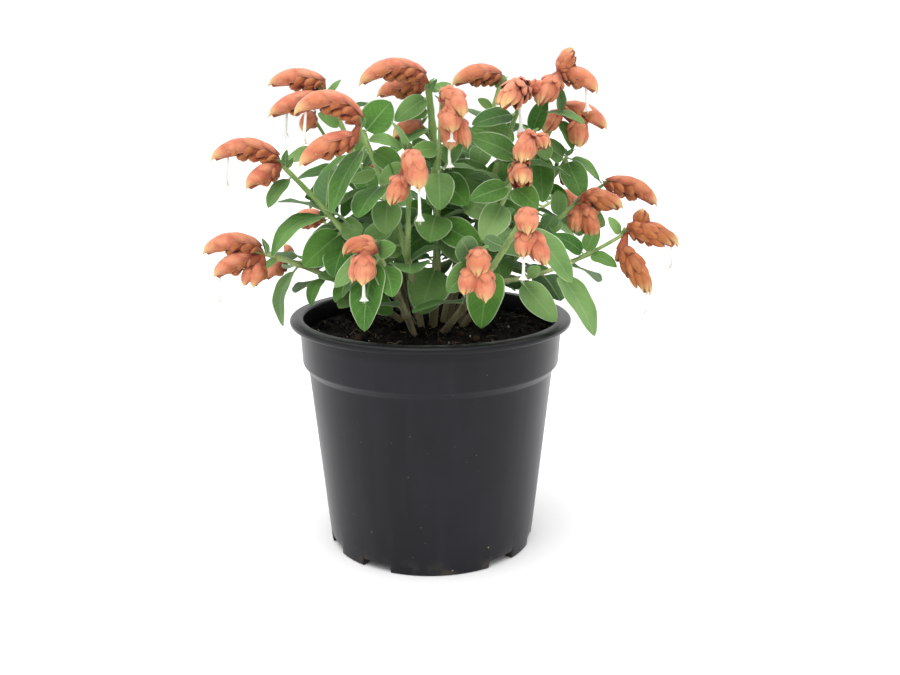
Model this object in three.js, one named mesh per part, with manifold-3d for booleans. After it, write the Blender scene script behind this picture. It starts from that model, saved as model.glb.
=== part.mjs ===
// A shrimp plant (Justicia brandegeeana) in a round black plastic nursery pot.
// Millimetres. +Z is up, and the origin is the centre of the pot's base, on the surface it stands on.
// +X is the plant's right and -Y its front, the side it is looked at from.
//
// The pot and the soil are one solid each. Every leafy stem that leaves the soil is one solid, its side
// shoots and leaves fused to it, and every flower head at the end of a shoot is one solid too.
import * as THREE from "three";
import { mergeVertices } from "three/addons/utils/BufferGeometryUtils.js";
import Module from "manifold-3d";

const wasm = await Module();
wasm.setup();

// ---- Driving dimensions ----

const GAP = 0.3; // clearance between neighbouring solids

// Pot
const RIM_RADIUS = 85; // outside of the rolled rim
const MOUTH_RADIUS = 76.7; // inner edge of the rolled rim
const MOUTH_HEIGHT = 141.8;
const FOOT_RADIUS = 63.3; // outside of the wall, on the surface
const WALL = 2.2;
const WALL_SLOPE = 0.0994; // the wall's lean, in mm of radius per mm of height
const COLLAR_HEIGHT = 115; // lower edge of the wider collar under the rim
const COLLAR_STEP = 3; // how far the collar stands out from the wall
const COLLAR_LEAN = 1.2; // how much wider the collar is at its top
const STEP_HEIGHT = 4.5; // height of the sloping shoulder under the collar
const BEAD_DEPTH = 4; // height of the rolled rim's outer side
const BEAD_SWELL = 1.6; // how far its outer side bulges
const BEAD_CROWN = 0.7; // how much higher the rim's crown is than its inner edge
const FLOOR_UNDERSIDE = 3;
const FLOOR_TOP = 5.4;
const FOOT_RING = 4; // width of the ring the pot stands on
const PAD_RADIUS = 14; // central pad that the pot also stands on
const CHAMFER = 1; // run of the sloping sides of the pad and the foot ring
const POT_SIDES = 30;
const NOTCH_PLACES = 10; // the foot's drainage notches sit at tenths of a turn
const NOTCHES_LEFT_OUT = [0, 5]; // but not at the front and back
const NOTCH_FRONT_DEG = 276; // direction of place 0
const NOTCH_WIDTH = 19;
const NOTCH_HEIGHT = 4.4;
const DRAIN_RADIUS = 4;
const DRAIN_CIRCLE = 46;
const DRAINS = 6;
const DRAIN_SIDES = 10;

// Soil
const SOIL_HEIGHT = 131; // at the wall
const SOIL_MOUND = 3; // how much higher its middle is
const SOIL_LUMP = 1.4; // relief of its surface
const SOIL_RINGS = [[60, 0.8], [42, 1.8]]; // rings of its surface: radius, and height over that at the wall
const SOIL_SIDES = 20;

// Stems
const STEM_DEPTH = 18; // how far a stem reaches into the soil
const STEM_ROOT_RADIUS = 2.0;
const STEM_TAPER = 0.65; // radius at the tip of a stem or side shoot, as a share of that at its root
const SHOOT_ROOT_RADIUS = 1.5; // of a side shoot
const STEM_SIDES = 4;
const STEM_STEPS = 5;

// Leaves
const BLADE = 1.1; // thickness at the midrib
const PETIOLE = 0.13; // the stalk's share of a leaf's length
const PETIOLE_RADIUS = 0.8;
const FOLD = 0.16; // rise of the blade's edge per mm from the midrib
const ARCH = 0.07; // rise of the midrib over the chord, as a share of the length, unless a leaf has its own
const LARGE_LEAF = 34; // a longer leaf gets one more rib in its outline

// Flower heads
const SPIKE_RADIUS = 7.4; // to the bract tips at the thick of a long spike
const SHORT_SPIKE = 30; // a shorter spike is also thinner
const SPIKE_WAIST = 0.72; // its radius near either end, as a share of that at its thick
const SPIKE_TAPER = 0.93; // how far it narrows towards its tip, where 1 is to a point
const BRACT_ROWS = 6;
const WHORL_PITCH = 6.2; // from one whorl of bracts to the next, along the spike
const TIP_SHIFT = 2.2; // how far a bract's tip is ahead of its whorl, and the next bract's root behind it
const ROOT_REACH = 0.55; // radius at a bract's root, as a share of that at its tip
const CORE_FOOT_RADIUS = 1.6;
const SPIKE_END = 0.6; // how far the last bracts' common tip is beyond the arc's end
const SLEEVE_SHARES = [0.08, 0.3, 0.65, 0.85, 1]; // rings of the plain sleeve that neighbours keep out of
const SLEEVE_END = 2.8;
const COROLLA_RADIUS = 0.8;
const COROLLA_LIP = 2.2;
const COROLLA_THROAT = 0.72; // share of its length where the lip starts
const COROLLA_SIDES = 3;

// Shoots: the three points of a quadratic curve, from the root at the soil or on a parent stem,
// by way of the bend, to the tip.
const STEMS = {
  a: { root: [-12, 8], bend: [-56, -8, 170], tip: [-99, -12, 181] },
  b: { root: [-9, 7], bend: [-40, -6, 186], tip: [-86, -15, 234] },
  c: { root: [-5, -7], bend: [-13, -26, 200], tip: [-38, -42, 256], girth: 2.1 },
  d: { root: [-7, 17], bend: [-34, 22, 215], tip: [-64, 25, 274] },
  e: { root: [1, 1], bend: [8, -4, 205], tip: [-1, -5, 278], girth: 2.7 },
  g: { root: [7, 17], bend: [24, 20, 215], tip: [42, 30, 278] },
  h: { root: [9, 6], bend: [30, -2, 210], tip: [54, -7, 272] },
  i: { root: [17, 11], bend: [46, 4, 222], tip: [74, 0, 281] },
  l: { root: [18, 1], bend: [48, -2, 182], tip: [88, -2, 209] },
  n: { root: [5, -15], bend: [32, -36, 168], tip: [51, -62, 209] },
  o: { root: [-9, -15], bend: [-20, -38, 168], tip: [-29, -66, 194] },
  v: { root: [12, 25], bend: [46, 30, 190], tip: [79, 34, 227] },
  w: { root: [-14, 24], bend: [-28, 48, 190], tip: [-36, 84, 222] },
  x: { root: [0, 27], bend: [4, 62, 190], tip: [9, 98, 206] },
};
const SIDE_SHOOTS = {
  f: { on: "e", at: 0.25, bend: [4, -24, 215], tip: [7, -28, 272] },
  r: { on: "e", at: 0.78, bend: [-1, 2, 248], tip: [-5, 5, 254] },
  j: { on: "i", at: 0.35, bend: [54, 16, 215], tip: [78, 18, 262] },
  k: { on: "h", at: 0.25, bend: [32, -22, 190], tip: [50, -34, 232] },
  s: { on: "h", at: 0.5, bend: [46, -20, 220], tip: [56, -32, 249] },
  y: { on: "l", at: 0.75, bend: [84, 4, 208], tip: [104, 5, 220] },
  p: { on: "n", at: 0.3, bend: [22, -44, 168], tip: [28, -66, 190] },
  q: { on: "c", at: 0.35, bend: [-12, -34, 200], tip: [-10, -48, 243] },
  t: { on: "d", at: 0.4, bend: [-46, 34, 215], tip: [-73, 38, 258] },
  u: { on: "b", at: 0.3, bend: [-55, 18, 172], tip: [-91, 26, 169] },
  m: { on: "n", at: 0.5, bend: [66, -20, 164], tip: [115, -14, 194] },
  vj: { on: "v", at: 0.7, bend: [78, 24, 224], tip: [82, 18, 235] },
  z: { on: "v", at: 0.4, bend: [62, 52, 196], tip: [80, 68, 203] },
  wl: { on: "w", at: 0.3, bend: [-50, 46, 176], tip: [-72, 64, 190] },
  xr: { on: "x", at: 0.3, bend: [30, 66, 170], tip: [46, 92, 178] },
};

// Leaves that were placed one by one, by the shoot they grow on:
// [share of the way along the shoot, heading, pitch, length, width, roll of the blade, arch where it has its
// own], angles in degrees.
const LEAVES = {
  a: [
    [0.75, 227, -69, 38, 18, 15, 0.16],
    [0.57, 230, -52, 21, 12, 0, 0.18],
    [0.96, 233, 71, 11, 6, 0],
    [0.89, 216, -32, 12, 6, -25],
  ],
  b: [
    [0.68, 203, -31, 42, 20, -12, 0.19],
    [0.71, 302, 74, 26, 16, -15],
    [0.92, 217, -47, 24, 14, -8],
    [0.96, 292, 69, 12, 6, 30],
    [0.95, 69, 53, 11, 6, 0],
    [0.59, 208, -36, 32, 20, -70],
    [0.62, 338, -8, 16, 14, 77],
    [0.62, 150, -35, 29, 14, -67],
  ],
  c: [
    [0.93, 349, -12, 21, 10, 36, 0.14],
    [0.77, 170, -16, 18, 8, -62],
    [0.91, 221, -56, 44, 20, 0],
    [0.95, 34, 44, 25, 18, 67],
    [0.66, 259, -68, 22, 17, -15],
    [0.88, 19, -32, 22, 13, 84],
    [0.53, 159, -25, 25, 12, -82],
  ],
  d: [
    [0.96, 28, 51, 14, 6, 25],
    [0.82, 195, 30, 17, 8, -81],
    [0.69, 38, 67, 17, 10, 53],
  ],
  t: [
    [0.58, 180, -10, 32, 15, -27],
    [0.41, 210, -56, 21, 10, -37],
  ],
  e: [
    [0.95, 207, -32, 26, 12, -62],
    [0.89, 173, -9, 16, 8, -79],
    [0.96, 25, 21, 15, 7, 35],
    [0.96, 306, 46, 11, 5, 0],
    [0.83, 16, -24, 47, 19, 35],
    [0.83, 209, -30, 34, 15, -10],
    [0.66, 205, 54, 24, 13, -96],
    [0.78, 316, -51, 19, 10, 0],
    [0.6, 17, 13, 34, 24, 75],
    [0.28, 251, -42, 37, 26, -24],
    [0.52, 153, -17, 23, 15, -92],
    [0.43, 203, -32, 31, 18, -60],
    [0.41, 342, -36, 31, 17, 61],
    [0.67, 353, 46, 23, 12, 82],
  ],
  f: [
    [0.73, 214, 0, 18, 10, -70],
    [0.63, 274, -58, 26, 17, 0],
    [0.38, 256, -42, 22, 22, -18],
    [0.33, 335, -24, 31, 18, 60],
  ],
  g: [
    [0.96, 38, 64, 11, 8, 52],
    [0.88, 204, 31, 12, 6, -77],
    [0.79, 30, -19, 21, 12, 80],
    [0.73, 245, -56, 18, 14, -25],
  ],
  h: [
    [0.91, 209, -11, 30, 14, -40],
    [0.82, 189, 28, 15, 11, -93],
    [0.8, 180, 16, 22, 10, -63],
    [0.58, 38, 54, 22, 15, 53],
    [0.78, 269, -21, 28, 14, 0],
  ],
  s: [[0.77, 188, 24, 31, 14, -73]],
  i: [
    [0.97, 28, -74, 16, 10, 0],
    [0.74, 332, 68, 23, 11, 100],
  ],
  j: [
    [0.96, 326, -61, 22, 10, 20],
    [0.78, 276, -36, 15, 10, 15],
    [0.73, 272, -55, 35, 16, 0],
  ],
  vj: [
    [0.96, 303, -53, 28, 16, 33],
    [0.98, 0, -34, 25, 12, 28, 0.1],
    [0.98, 196, 39, 18, 9, -57],
    [0.89, 200, 29, 14, 8, -88],
  ],
  v: [[0.87, 345, -36, 19, 9, 47]],
  k: [
    [0.88, 208, -14, 27, 13, -60],
    [0.88, 315, -29, 23, 14, 55],
    [0.77, 228, -47, 28, 17, -44],
  ],
  l: [
    [0.73, 285, 34, 20, 11, -30],
    [0.96, 11, -30, 23, 12, 82],
    [0.84, 240, -48, 10, 8, -25],
    [0.84, 84, 58, 19, 10, 0],
    [0.58, 231, 13, 45, 20, -55],
  ],
  m: [
    [0.74, 191, 32, 24, 11, -63, 0.1],
    [0.74, 38, 59, 19, 10, 33],
    [0.75, 340, -20, 19, 13, 25],
    [0.96, 194, 53, 14, 7, -68],
    [0.54, 317, -51, 46, 25, 0],
    [0.28, 330, -43, 33, 16, 53],
    [0.34, 345, 40, 10, 7, 88],
  ],
  n: [
    [0.94, 340, -45, 42, 20, 24],
    [0.77, 221, 25, 17, 9, 90],
    [0.63, 248, -59, 37, 22, 0],
  ],
  p: [
    [0.84, 221, -32, 25, 14, -45],
    [0.82, 244, 40, 26, 14, 55],
  ],
  o: [
    [0.88, 242, -68, 42, 22, 0],
    [0.79, 287, -35, 26, 15, 0],
    [0.91, 308, 18, 19, 10, 85],
    [0.92, 185, -39, 30, 14, -40],
    [0.85, 191, -45, 30, 14, -19],
  ],
  q: [
    [0.65, 200, 62, 24, 11, -50],
    [0.95, 160, 61, 22, 9, -5],
    [0.9, 161, -28, 20, 11, -70],
  ],
};

// The rest of the leaves follow a rule. Each shoot tries to carry a number of them, each in a random place
// between two shares of its length and in a random direction about a heading, and a leaf grows only where
// there is room for it: [number, first share, last share, middle heading, spread to either side].
const FILLING = {
  e: [6, 0.25, 0.8, 90, 180],
  c: [4, 0.25, 0.75, 200, 180],
  h: [5, 0.25, 0.7, 250, 180],
  g: [6, 0.25, 0.9, 80, 150],
  i: [6, 0.25, 0.9, 60, 150],
  d: [6, 0.25, 0.9, 110, 150],
  b: [5, 0.25, 0.8, 90, 180],
  v: [6, 0.3, 0.95, 60, 150],
  w: [7, 0.3, 0.95, 110, 160],
  x: [7, 0.3, 0.95, 90, 160],
  n: [3, 0.25, 0.5, 220, 120],
  o: [3, 0.25, 0.55, 160, 120],
  m: [3, 0.3, 0.8, 60, 110],
  l: [4, 0.3, 0.9, 60, 120],
  a: [3, 0.4, 0.9, 60, 100],
  u: [3, 0.3, 0.9, 90, 120],
  t: [3, 0.4, 0.9, 120, 120],
  j: [2, 0.4, 0.8, 60, 100],
  y: [2, 0.4, 0.9, 60, 90],
  z: [6, 0.3, 0.95, 30, 160],
  wl: [5, 0.3, 0.95, 150, 160],
  xr: [5, 0.3, 0.95, 60, 160],
};
const FILLING_SEED = 1;
const FILLING_TRIES = 14; // directions tried for one leaf before it is left out
const FILLING_LENGTH = [42, 28]; // at the foot and at the tip of a shoot
const FILLING_WIDTH = 0.62; // as a share of the length
const LENGTH_SPREAD = 5;
const HIGHEST_PITCH = 18;
const PITCH_SPREAD = 60; // downwards from the highest
const ROLL_SPREAD = 30;
const LOWEST_TIP = 150; // a blade that would hang lower than this is left out
const ROOM_STEPS = 12; // balls along a shoot
const SHOOT_ROOM = 2.5; // radius of the room kept about a shoot
const SPIKE_ROOM = 6;
const BLADE_ROOM = 0.26; // as a share of a blade's width
const ELBOW_ROOM = 0.8;

// Flower heads: the shoot they end, and their spikes. A spike is an arc in an upright plane:
// [offset of its foot from the shoot's end, heading, rise at the foot, droop over its length, length,
// fullness where it isn't 1].
const HEADS = {
  a: [
    [[-2, 0, 2], 190, 36, 80, 34, 0.97],
    [[-5, -3, -4], 196, 7, 60, 25],
    [[1, -2, -6], 226, -50, 25, 15, 0.9],
    [[-5, -3, -8], 226, -46, 25, 12, 0.8],
  ],
  u: [
    [[0, 0, 1], 198, -21, 40, 18],
    [[4, -2, 4], 170, 64, 10, 9, 0.7],
  ],
  b: [
    [[-2, 0, 2], 190, 39, 82, 39, 0.95],
    [[-1, -3, -4], 205, -9, 45, 21],
    [[-1, 4, -4], 160, -25, 30, 14, 0.8],
  ],
  d: [
    [[-1, 1, 3], 176, 26, 55, 34, 0.95],
    [[-3, -3, -5], 192, -4, 32, 32, 0.95],
  ],
  c: [
    [[0, 0, 2], 198, 60, 110, 40, 0.94],
    [[-2, -4, -8], 199, 0, 50, 34, 0.95],
  ],
  t: [[[0, 0, 1], 238, -31, 40, 14]],
  e: [
    [[-3, -2, 3], 193, 35, 86, 40, 0.92],
    [[-3, 5, -2], 165, 10, 45, 29, 0.95],
  ],
  r: [[[-1, 0, 0], 224, -4, 30, 22]],
  q: [
    [[0, -3, -2], 290, -22, 50, 26],
    [[-3, -5, -14], 232, -42, 28, 18],
  ],
  f: [
    [[2, 2, 0], 300, -4, 60, 24],
    [[4, -1, -12], 276, -58, 20, 20, 0.85],
    [[9, -1, -13], 312, -60, 12, 18, 0.75],
    [[4, -6, -7], 284, -50, 20, 16, 1.1],
  ],
  g: [[[-1, 0, 3], 201, 23, 65, 32, 0.95]],
  h: [
    [[0, -2, 2], 241, 9, 60, 31],
    [[3, 0, 1], 10, 30, 40, 10, 0.9],
  ],
  i: [
    [[1, 0, 3], 345, 68, 20, 15],
    [[-1, -2, 0], 216, -36, 30, 21, 1.1],
    [[2, 0, 1], 348, 10, 75, 24, 0.95],
  ],
  j: [
    [[-2, -2, -1], 222, -34, 25, 17, 0.85],
    [[1, 0, 1], 351, 2, 55, 30, 0.88],
    [[9, -1, -6], 285, -58, 18, 17, 1.2],
  ],
  s: [
    [[0, 0, 1], 250, -21, 40, 23],
    [[4, 0, 0], 300, -25, 30, 10, 0.9],
  ],
  k: [[[0, -1, 0], 270, -2, 40, 22]],
  v: [[[2, 0, -1], 317, -31, 28, 17, 0.95]],
  n: [
    [[1, -1, 3], 272, -25, 45, 16, 1.15],
    [[0, -5, -7], 262, -62, 15, 15, 0.9],
    [[4, -4, -8], 316, -55, 12, 20, 0.9],
  ],
  o: [
    [[1, 0, -4], 188, 64, 138, 21, 0.8],
    [[-7, -3, -5], 232, -62, 12, 15, 0.75],
    [[-4, -5, -4], 264, -60, 14, 17, 1.05],
  ],
  p: [
    [[-1, -2, 1], 270, -30, 45, 15, 1.15],
    [[-4, -5, -7], 234, -56, 12, 16],
    [[1, -5, -7], 280, -62, 12, 19],
  ],
  l: [
    [[3, 0, 4], 338, 8, 52, 24, 0.95],
    [[-2, -3, -3], 262, -58, 15, 15, 0.85],
    [[3, -4, -2], 302, -56, 20, 20],
  ],
  y: [[[1, 0, -1], 0, 8, 62, 34, 0.97]],
  m: [
    [[1, 0, 2], 347, 2, 45, 30],
    [[6, 0, 2], 24, 75, 5, 12, 0.9],
    [[-4, -4, -9], 328, -42, 28, 32, 0.95],
  ],
  z: [[[1, 1, 1], 35, 10, 60, 27]],
  w: [
    [[0, 1, 1], 110, 25, 75, 32],
    [[-2, 2, -3], 150, -20, 40, 22],
  ],
  wl: [[[-1, 1, 1], 150, 15, 65, 28]],
  x: [
    [[0, 1, 1], 85, 20, 70, 30],
    [[2, 1, -3], 40, -20, 40, 22],
  ],
  xr: [[[1, 1, 0], 60, 5, 60, 26]],
};

// White corollas that hang out of a head: [which spike, share of the way along it, length, heading, pitch].
const COROLLAS = {
  q: [[0, 0.75, 22, 290, -84]],
  o: [[2, 0.6, 15, 250, -86]],
  n: [[1, 0.7, 16, 270, -86]],
  m: [[2, 0.9, 14, 300, -84], [0, 0.85, 15, 320, -82]],
  f: [[3, 0.7, 9, 260, -86], [1, 0.8, 13, 280, -86]],
  h: [[0, 0.3, 24, 300, -80]],
  b: [[0, 0.7, 20, 200, -82]],
  a: [[1, 0.8, 18, 200, -84]],
  d: [[1, 0.6, 18, 200, -84]],
  c: [[0, 0.8, 20, 200, -84]],
  i: [[2, 0.6, 17, 330, -84]],
  x: [[0, 0.7, 18, 90, -80]],
  w: [[0, 0.7, 18, 110, -80]],
};

// ---- Geometry helpers ----

const UP = new THREE.Vector3(0, 0, 1);
const radians = THREE.MathUtils.degToRad;

const vector = ([x, y, z]) => new THREE.Vector3(x, y, z);

function direction(heading, pitch) {
  const level = Math.cos(radians(pitch));
  const turn = radians(heading);
  return new THREE.Vector3(level * Math.cos(turn), level * Math.sin(turn), Math.sin(radians(pitch)));
}

// Repeatable random numbers from 0 to 1.
function randomFrom(seed) {
  let state = seed;
  return () => {
    state = (state * 1664525 + 1013904223) % 2 ** 32;
    return state / 2 ** 32;
  };
}

// A closed surface through rings of equally many points, each anticlockwise as seen from the ring after
// it. A first or last ring of one point is a pointed end, and any other end is closed flat.
function loft(rings) {
  const middle = (ring) =>
    ring.reduce((sum, point) => sum.clone().add(point), new THREE.Vector3()).divideScalar(ring.length);
  const closed = [...rings];
  if (closed[0].length > 1) closed.unshift([middle(closed[0])]);
  if (closed.at(-1).length > 1) closed.push([middle(closed.at(-1))]);

  const sides = closed[1].length;
  const corner = (ring, j) => 1 + (ring - 1) * sides + (j % sides);
  const last = 1 + (closed.length - 2) * sides;
  const index = [];
  for (let j = 0; j < sides; j++) {
    index.push(0, corner(1, j + 1), corner(1, j));
    for (let ring = 1; ring < closed.length - 2; ring++) {
      const [a, b] = [corner(ring, j), corner(ring, j + 1)];
      const [c, d] = [corner(ring + 1, j), corner(ring + 1, j + 1)];
      index.push(a, b, d, a, d, c);
    }
    index.push(corner(closed.length - 2, j), corner(closed.length - 2, j + 1), last);
  }
  return new THREE.BufferGeometry().setFromPoints(closed.flat()).setIndex(index);
}

// A ring of points about an axis through centre, from its side direction towards its face direction.
function ringAbout(centre, side, face, radius, sides) {
  const ring = [];
  for (let j = 0; j < sides; j++) {
    const turn = (2 * Math.PI * j) / sides;
    ring.push(
      centre
        .clone()
        .addScaledVector(side, radius * Math.cos(turn))
        .addScaledVector(face, radius * Math.sin(turn)),
    );
  }
  return ring;
}

// ---- Joining and cutting ----

function solidOf(geometry) {
  const bare = geometry.clone();
  bare.deleteAttribute("normal");
  bare.deleteAttribute("uv");
  const merged = mergeVertices(bare, 1e-4);
  return new wasm.Manifold(
    new wasm.Mesh({
      numProp: 3,
      vertProperties: merged.attributes.position.array,
      triVerts: new Uint32Array(merged.index.array),
    }),
  );
}

const union = (solids) => wasm.Manifold.union(solids);

// The largest body of a solid: loose scraps and the walls of sealed hollows are left behind.
const mainBody = (solid) =>
  solid.decompose().reduce((best, body) => (body.volume() > best.volume() ? body : best));

function boxesMeet(one, other) {
  const [p, q] = [one.boundingBox(), other.boundingBox()];
  return [0, 1, 2].every((axis) => p.min[axis] <= q.max[axis] && q.min[axis] <= p.max[axis]);
}

// What is left of a solid once everything that comes too near has been cut from it.
function clearOf(solid, obstacles) {
  const near = obstacles.filter((obstacle) => boxesMeet(solid, obstacle));
  return near.length ? solid.subtract(union(near)) : solid;
}

// ---- Pot ----

function potSolid() {
  const wallRadius = (height) => FOOT_RADIUS + WALL_SLOPE * height;
  const shoulder = COLLAR_HEIGHT - STEP_HEIGHT;
  const collar = wallRadius(COLLAR_HEIGHT) + COLLAR_STEP;
  const collarTop = collar + COLLAR_LEAN;
  const beadUnderside = MOUTH_HEIGHT - BEAD_DEPTH;
  const profile = [
    [0, 0], [PAD_RADIUS, 0], [PAD_RADIUS + CHAMFER, FLOOR_UNDERSIDE],
    [FOOT_RADIUS - FOOT_RING - CHAMFER, FLOOR_UNDERSIDE], [FOOT_RADIUS - FOOT_RING, 0], [FOOT_RADIUS, 0],
    [wallRadius(shoulder), shoulder], [collar, COLLAR_HEIGHT],
    [collarTop, beadUnderside], [RIM_RADIUS - BEAD_SWELL, beadUnderside],
    [RIM_RADIUS, beadUnderside + 0.6 * BEAD_DEPTH], [RIM_RADIUS - BEAD_SWELL / 2, MOUTH_HEIGHT],
    [RIM_RADIUS - BEAD_DEPTH, MOUTH_HEIGHT + BEAD_CROWN], [MOUTH_RADIUS, MOUTH_HEIGHT],
    [collar - WALL, COLLAR_HEIGHT - CHAMFER], [wallRadius(shoulder) - WALL, shoulder - CHAMFER],
    [wallRadius(FLOOR_TOP) - WALL, FLOOR_TOP], [0, FLOOR_TOP],
  ];
  const shell = new THREE.LatheGeometry(
    profile.map(([radius, height]) => new THREE.Vector2(radius, height)),
    POT_SIDES,
  ).rotateX(Math.PI / 2);

  const cuts = [];
  for (let place = 0; place < NOTCH_PLACES; place++) {
    if (NOTCHES_LEFT_OUT.includes(place)) continue;
    const notch = new THREE.BoxGeometry(3 * FOOT_RING, NOTCH_WIDTH, 2 * NOTCH_HEIGHT);
    notch.translate(FOOT_RADIUS, 0, 0);
    notch.rotateZ(radians(NOTCH_FRONT_DEG + (360 * place) / NOTCH_PLACES));
    cuts.push(solidOf(notch));
  }
  for (let drain = 0; drain < DRAINS; drain++) {
    const hole = new THREE.CylinderGeometry(DRAIN_RADIUS, DRAIN_RADIUS, 4 * FLOOR_TOP, DRAIN_SIDES);
    hole.rotateX(Math.PI / 2).translate(DRAIN_CIRCLE, 0, 0).rotateZ((2 * Math.PI * drain) / DRAINS);
    cuts.push(solidOf(hole));
  }
  return solidOf(shell).subtract(union(cuts));
}

// ---- Soil ----

// The fill from the pot's floor to just under the rim. Its top is a low mound with lumps, and each stem
// stands in a hole of its own shape.
function soilSolid(stems) {
  const innerRadius = (height) => FOOT_RADIUS + WALL_SLOPE * height - WALL - 2 * GAP;
  const shoulder = COLLAR_HEIGHT - STEP_HEIGHT;
  const profile = [
    [0, FLOOR_TOP + GAP], [innerRadius(FLOOR_TOP), FLOOR_TOP + GAP],
    [innerRadius(shoulder), shoulder - CHAMFER], [MOUTH_RADIUS - CHAMFER, SOIL_HEIGHT],
    ...SOIL_RINGS.map(([radius, rise]) => [radius, SOIL_HEIGHT + rise]),
    [0, SOIL_HEIGHT + SOIL_MOUND],
  ];
  const fill = new THREE.LatheGeometry(
    profile.map(([radius, height]) => new THREE.Vector2(radius, height)),
    SOIL_SIDES,
  ).rotateX(Math.PI / 2);

  const points = fill.getAttribute("position");
  for (let i = 0; i < points.count; i++) {
    const [x, y, z] = [points.getX(i), points.getY(i), points.getZ(i)];
    if (z > SOIL_HEIGHT + 0.1 && z < SOIL_HEIGHT + SOIL_MOUND - 0.1)
      points.setZ(i, z + SOIL_LUMP * Math.sin(0.31 * x + 0.4) * Math.cos(0.27 * y - 0.8));
  }
  return mainBody(solidOf(fill).subtract(union(stems)));
}

// ---- Shoots ----

const curves = {};
for (const [name, { root, bend, tip }] of Object.entries(STEMS))
  curves[name] = new THREE.QuadraticBezierCurve3(vector([...root, SOIL_HEIGHT]), vector(bend), vector(tip));
for (const [name, { on, at, bend, tip }] of Object.entries(SIDE_SHOOTS))
  curves[name] = new THREE.QuadraticBezierCurve3(curves[on].getPoint(at), vector(bend), vector(tip));

const stemOf = (name) => (name in STEMS ? name : stemOf(SIDE_SHOOTS[name].on));

// A tapering rod along a shoot. A stem starts deep in the soil, and a side shoot in its parent.
// A margin makes it larger all round, to cut or keep its neighbours clear.
function shootSolid(name, margin = 0) {
  const curve = curves[name];
  const frames = curve.computeFrenetFrames(STEM_STEPS);
  const isStem = name in STEMS;
  const rootRadius = isStem ? (STEMS[name].girth ?? STEM_ROOT_RADIUS) : SHOOT_ROOT_RADIUS;
  const rings = [];
  const addRing = (centre, step, radius) =>
    rings.push(ringAbout(centre, frames.normals[step], frames.binormals[step], radius + margin, STEM_SIDES));

  const buried = isStem ? STEM_DEPTH + margin : margin;
  addRing(curve.getPoint(0).addScaledVector(frames.tangents[0], -buried), 0, rootRadius);
  for (let step = 1; step <= STEM_STEPS; step++) {
    const along = step / STEM_STEPS;
    const centre = curve.getPointAt(along);
    if (step === STEM_STEPS) centre.addScaledVector(frames.tangents[step], margin);
    addRing(centre, step, rootRadius * THREE.MathUtils.lerp(1, STEM_TAPER, along));
  }
  return solidOf(loft(rings));
}

// ---- Leaves ----

// A thin arched blade, folded a little along its midrib, on a short stalk sunk in the shoot.
function leafSolid({ root, heading, pitch, length, width, roll, arch = ARCH }, margin = 0) {
  const along = direction(heading, pitch);
  const face = UP.clone().addScaledVector(along, -along.dot(UP)).normalize();
  face.applyAxisAngle(along, radians(roll));
  const side = new THREE.Vector3().crossVectors(face, along);
  const midrib = (share) =>
    root
      .clone()
      .addScaledVector(along, share * length)
      .addScaledVector(face, arch * length * Math.sin(Math.PI * share));
  const bladeRing = (share, halfWidth) => {
    const half = BLADE / 2 + margin;
    const reach = halfWidth + margin;
    const at = (across, lift) =>
      midrib(share).addScaledVector(side, across).addScaledVector(face, FOLD * Math.abs(across) + lift);
    return [at(reach, 0), at(0, half), at(-reach, 0), at(0, -half)];
  };
  const ribs = length > LARGE_LEAF ? [[0.3, 0.86], [0.55, 1], [0.8, 0.64]] : [[0.36, 0.96], [0.7, 0.8]];
  return solidOf(
    loft([
      [root.clone().addScaledVector(along, -margin)],
      bladeRing(PETIOLE, PETIOLE_RADIUS),
      ...ribs.map(([share, fullness]) => bladeRing(share, (fullness * width) / 2)),
      [midrib(1).addScaledVector(along, margin)],
    ]),
  );
}

// The leaves of each shoot, first all those placed one by one and then those that fill the room left.
// Room is kept as balls: along the shoots, along the spikes, and over the middle of each blade.
function placeLeaves() {
  const taken = [];
  const bladeBalls = ({ root, heading, pitch, length, width }) =>
    [0.35, 0.6, 0.85].map((share) => ({
      centre: root.clone().addScaledVector(direction(heading, pitch), share * length),
      radius: BLADE_ROOM * width,
    }));
  for (const curve of Object.values(curves))
    for (let step = 1; step <= ROOM_STEPS; step++)
      taken.push({ centre: curve.getPoint(step / ROOM_STEPS), radius: SHOOT_ROOM });
  for (const [name, spikes] of Object.entries(HEADS))
    for (const spike of spikes)
      for (const share of [0.1, 0.4, 0.7, 1]) {
        const foot = curves[name].getPoint(1).add(vector(spike[0]));
        taken.push({ centre: pointOnSpike(foot, spike, share, 0, 0), radius: SPIKE_ROOM });
      }

  const leaves = {};
  for (const [name, curve] of Object.entries(curves)) {
    leaves[name] = (LEAVES[name] ?? []).map(([at, heading, pitch, length, width, roll, arch]) => ({
      root: curve.getPoint(at), heading, pitch, length, width, roll, arch,
    }));
    taken.push(...leaves[name].flatMap(bladeBalls));
  }

  const random = randomFrom(FILLING_SEED);
  for (const [name, [number, first, last, middle, spread]] of Object.entries(FILLING))
    for (let leaf = 0; leaf < number; leaf++)
      for (let attempt = 0; attempt < FILLING_TRIES; attempt++) {
        const at = first + ((last - first) * (leaf + random())) / number;
        const length = THREE.MathUtils.lerp(...FILLING_LENGTH, at) + LENGTH_SPREAD * (random() - 0.5);
        const heading = middle + spread * (2 * random() - 1);
        const pitch = HIGHEST_PITCH - PITCH_SPREAD * random();
        const roll = ROLL_SPREAD * (random() - 0.5);
        const root = curves[name].getPoint(at);
        const tried = { root, heading, pitch, length, width: FILLING_WIDTH * length, roll };
        const tipHeight = root.z + length * Math.sin(radians(pitch));
        const hasRoom = bladeBalls(tried).every(({ centre, radius }) =>
          taken.every((ball) => centre.distanceTo(ball.centre) > radius + ball.radius + ELBOW_ROOM),
        );
        if (!hasRoom || tipHeight < LOWEST_TIP) continue;
        leaves[name].push(tried);
        taken.push(...bladeBalls(tried));
        break;
      }
  return leaves;
}

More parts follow.
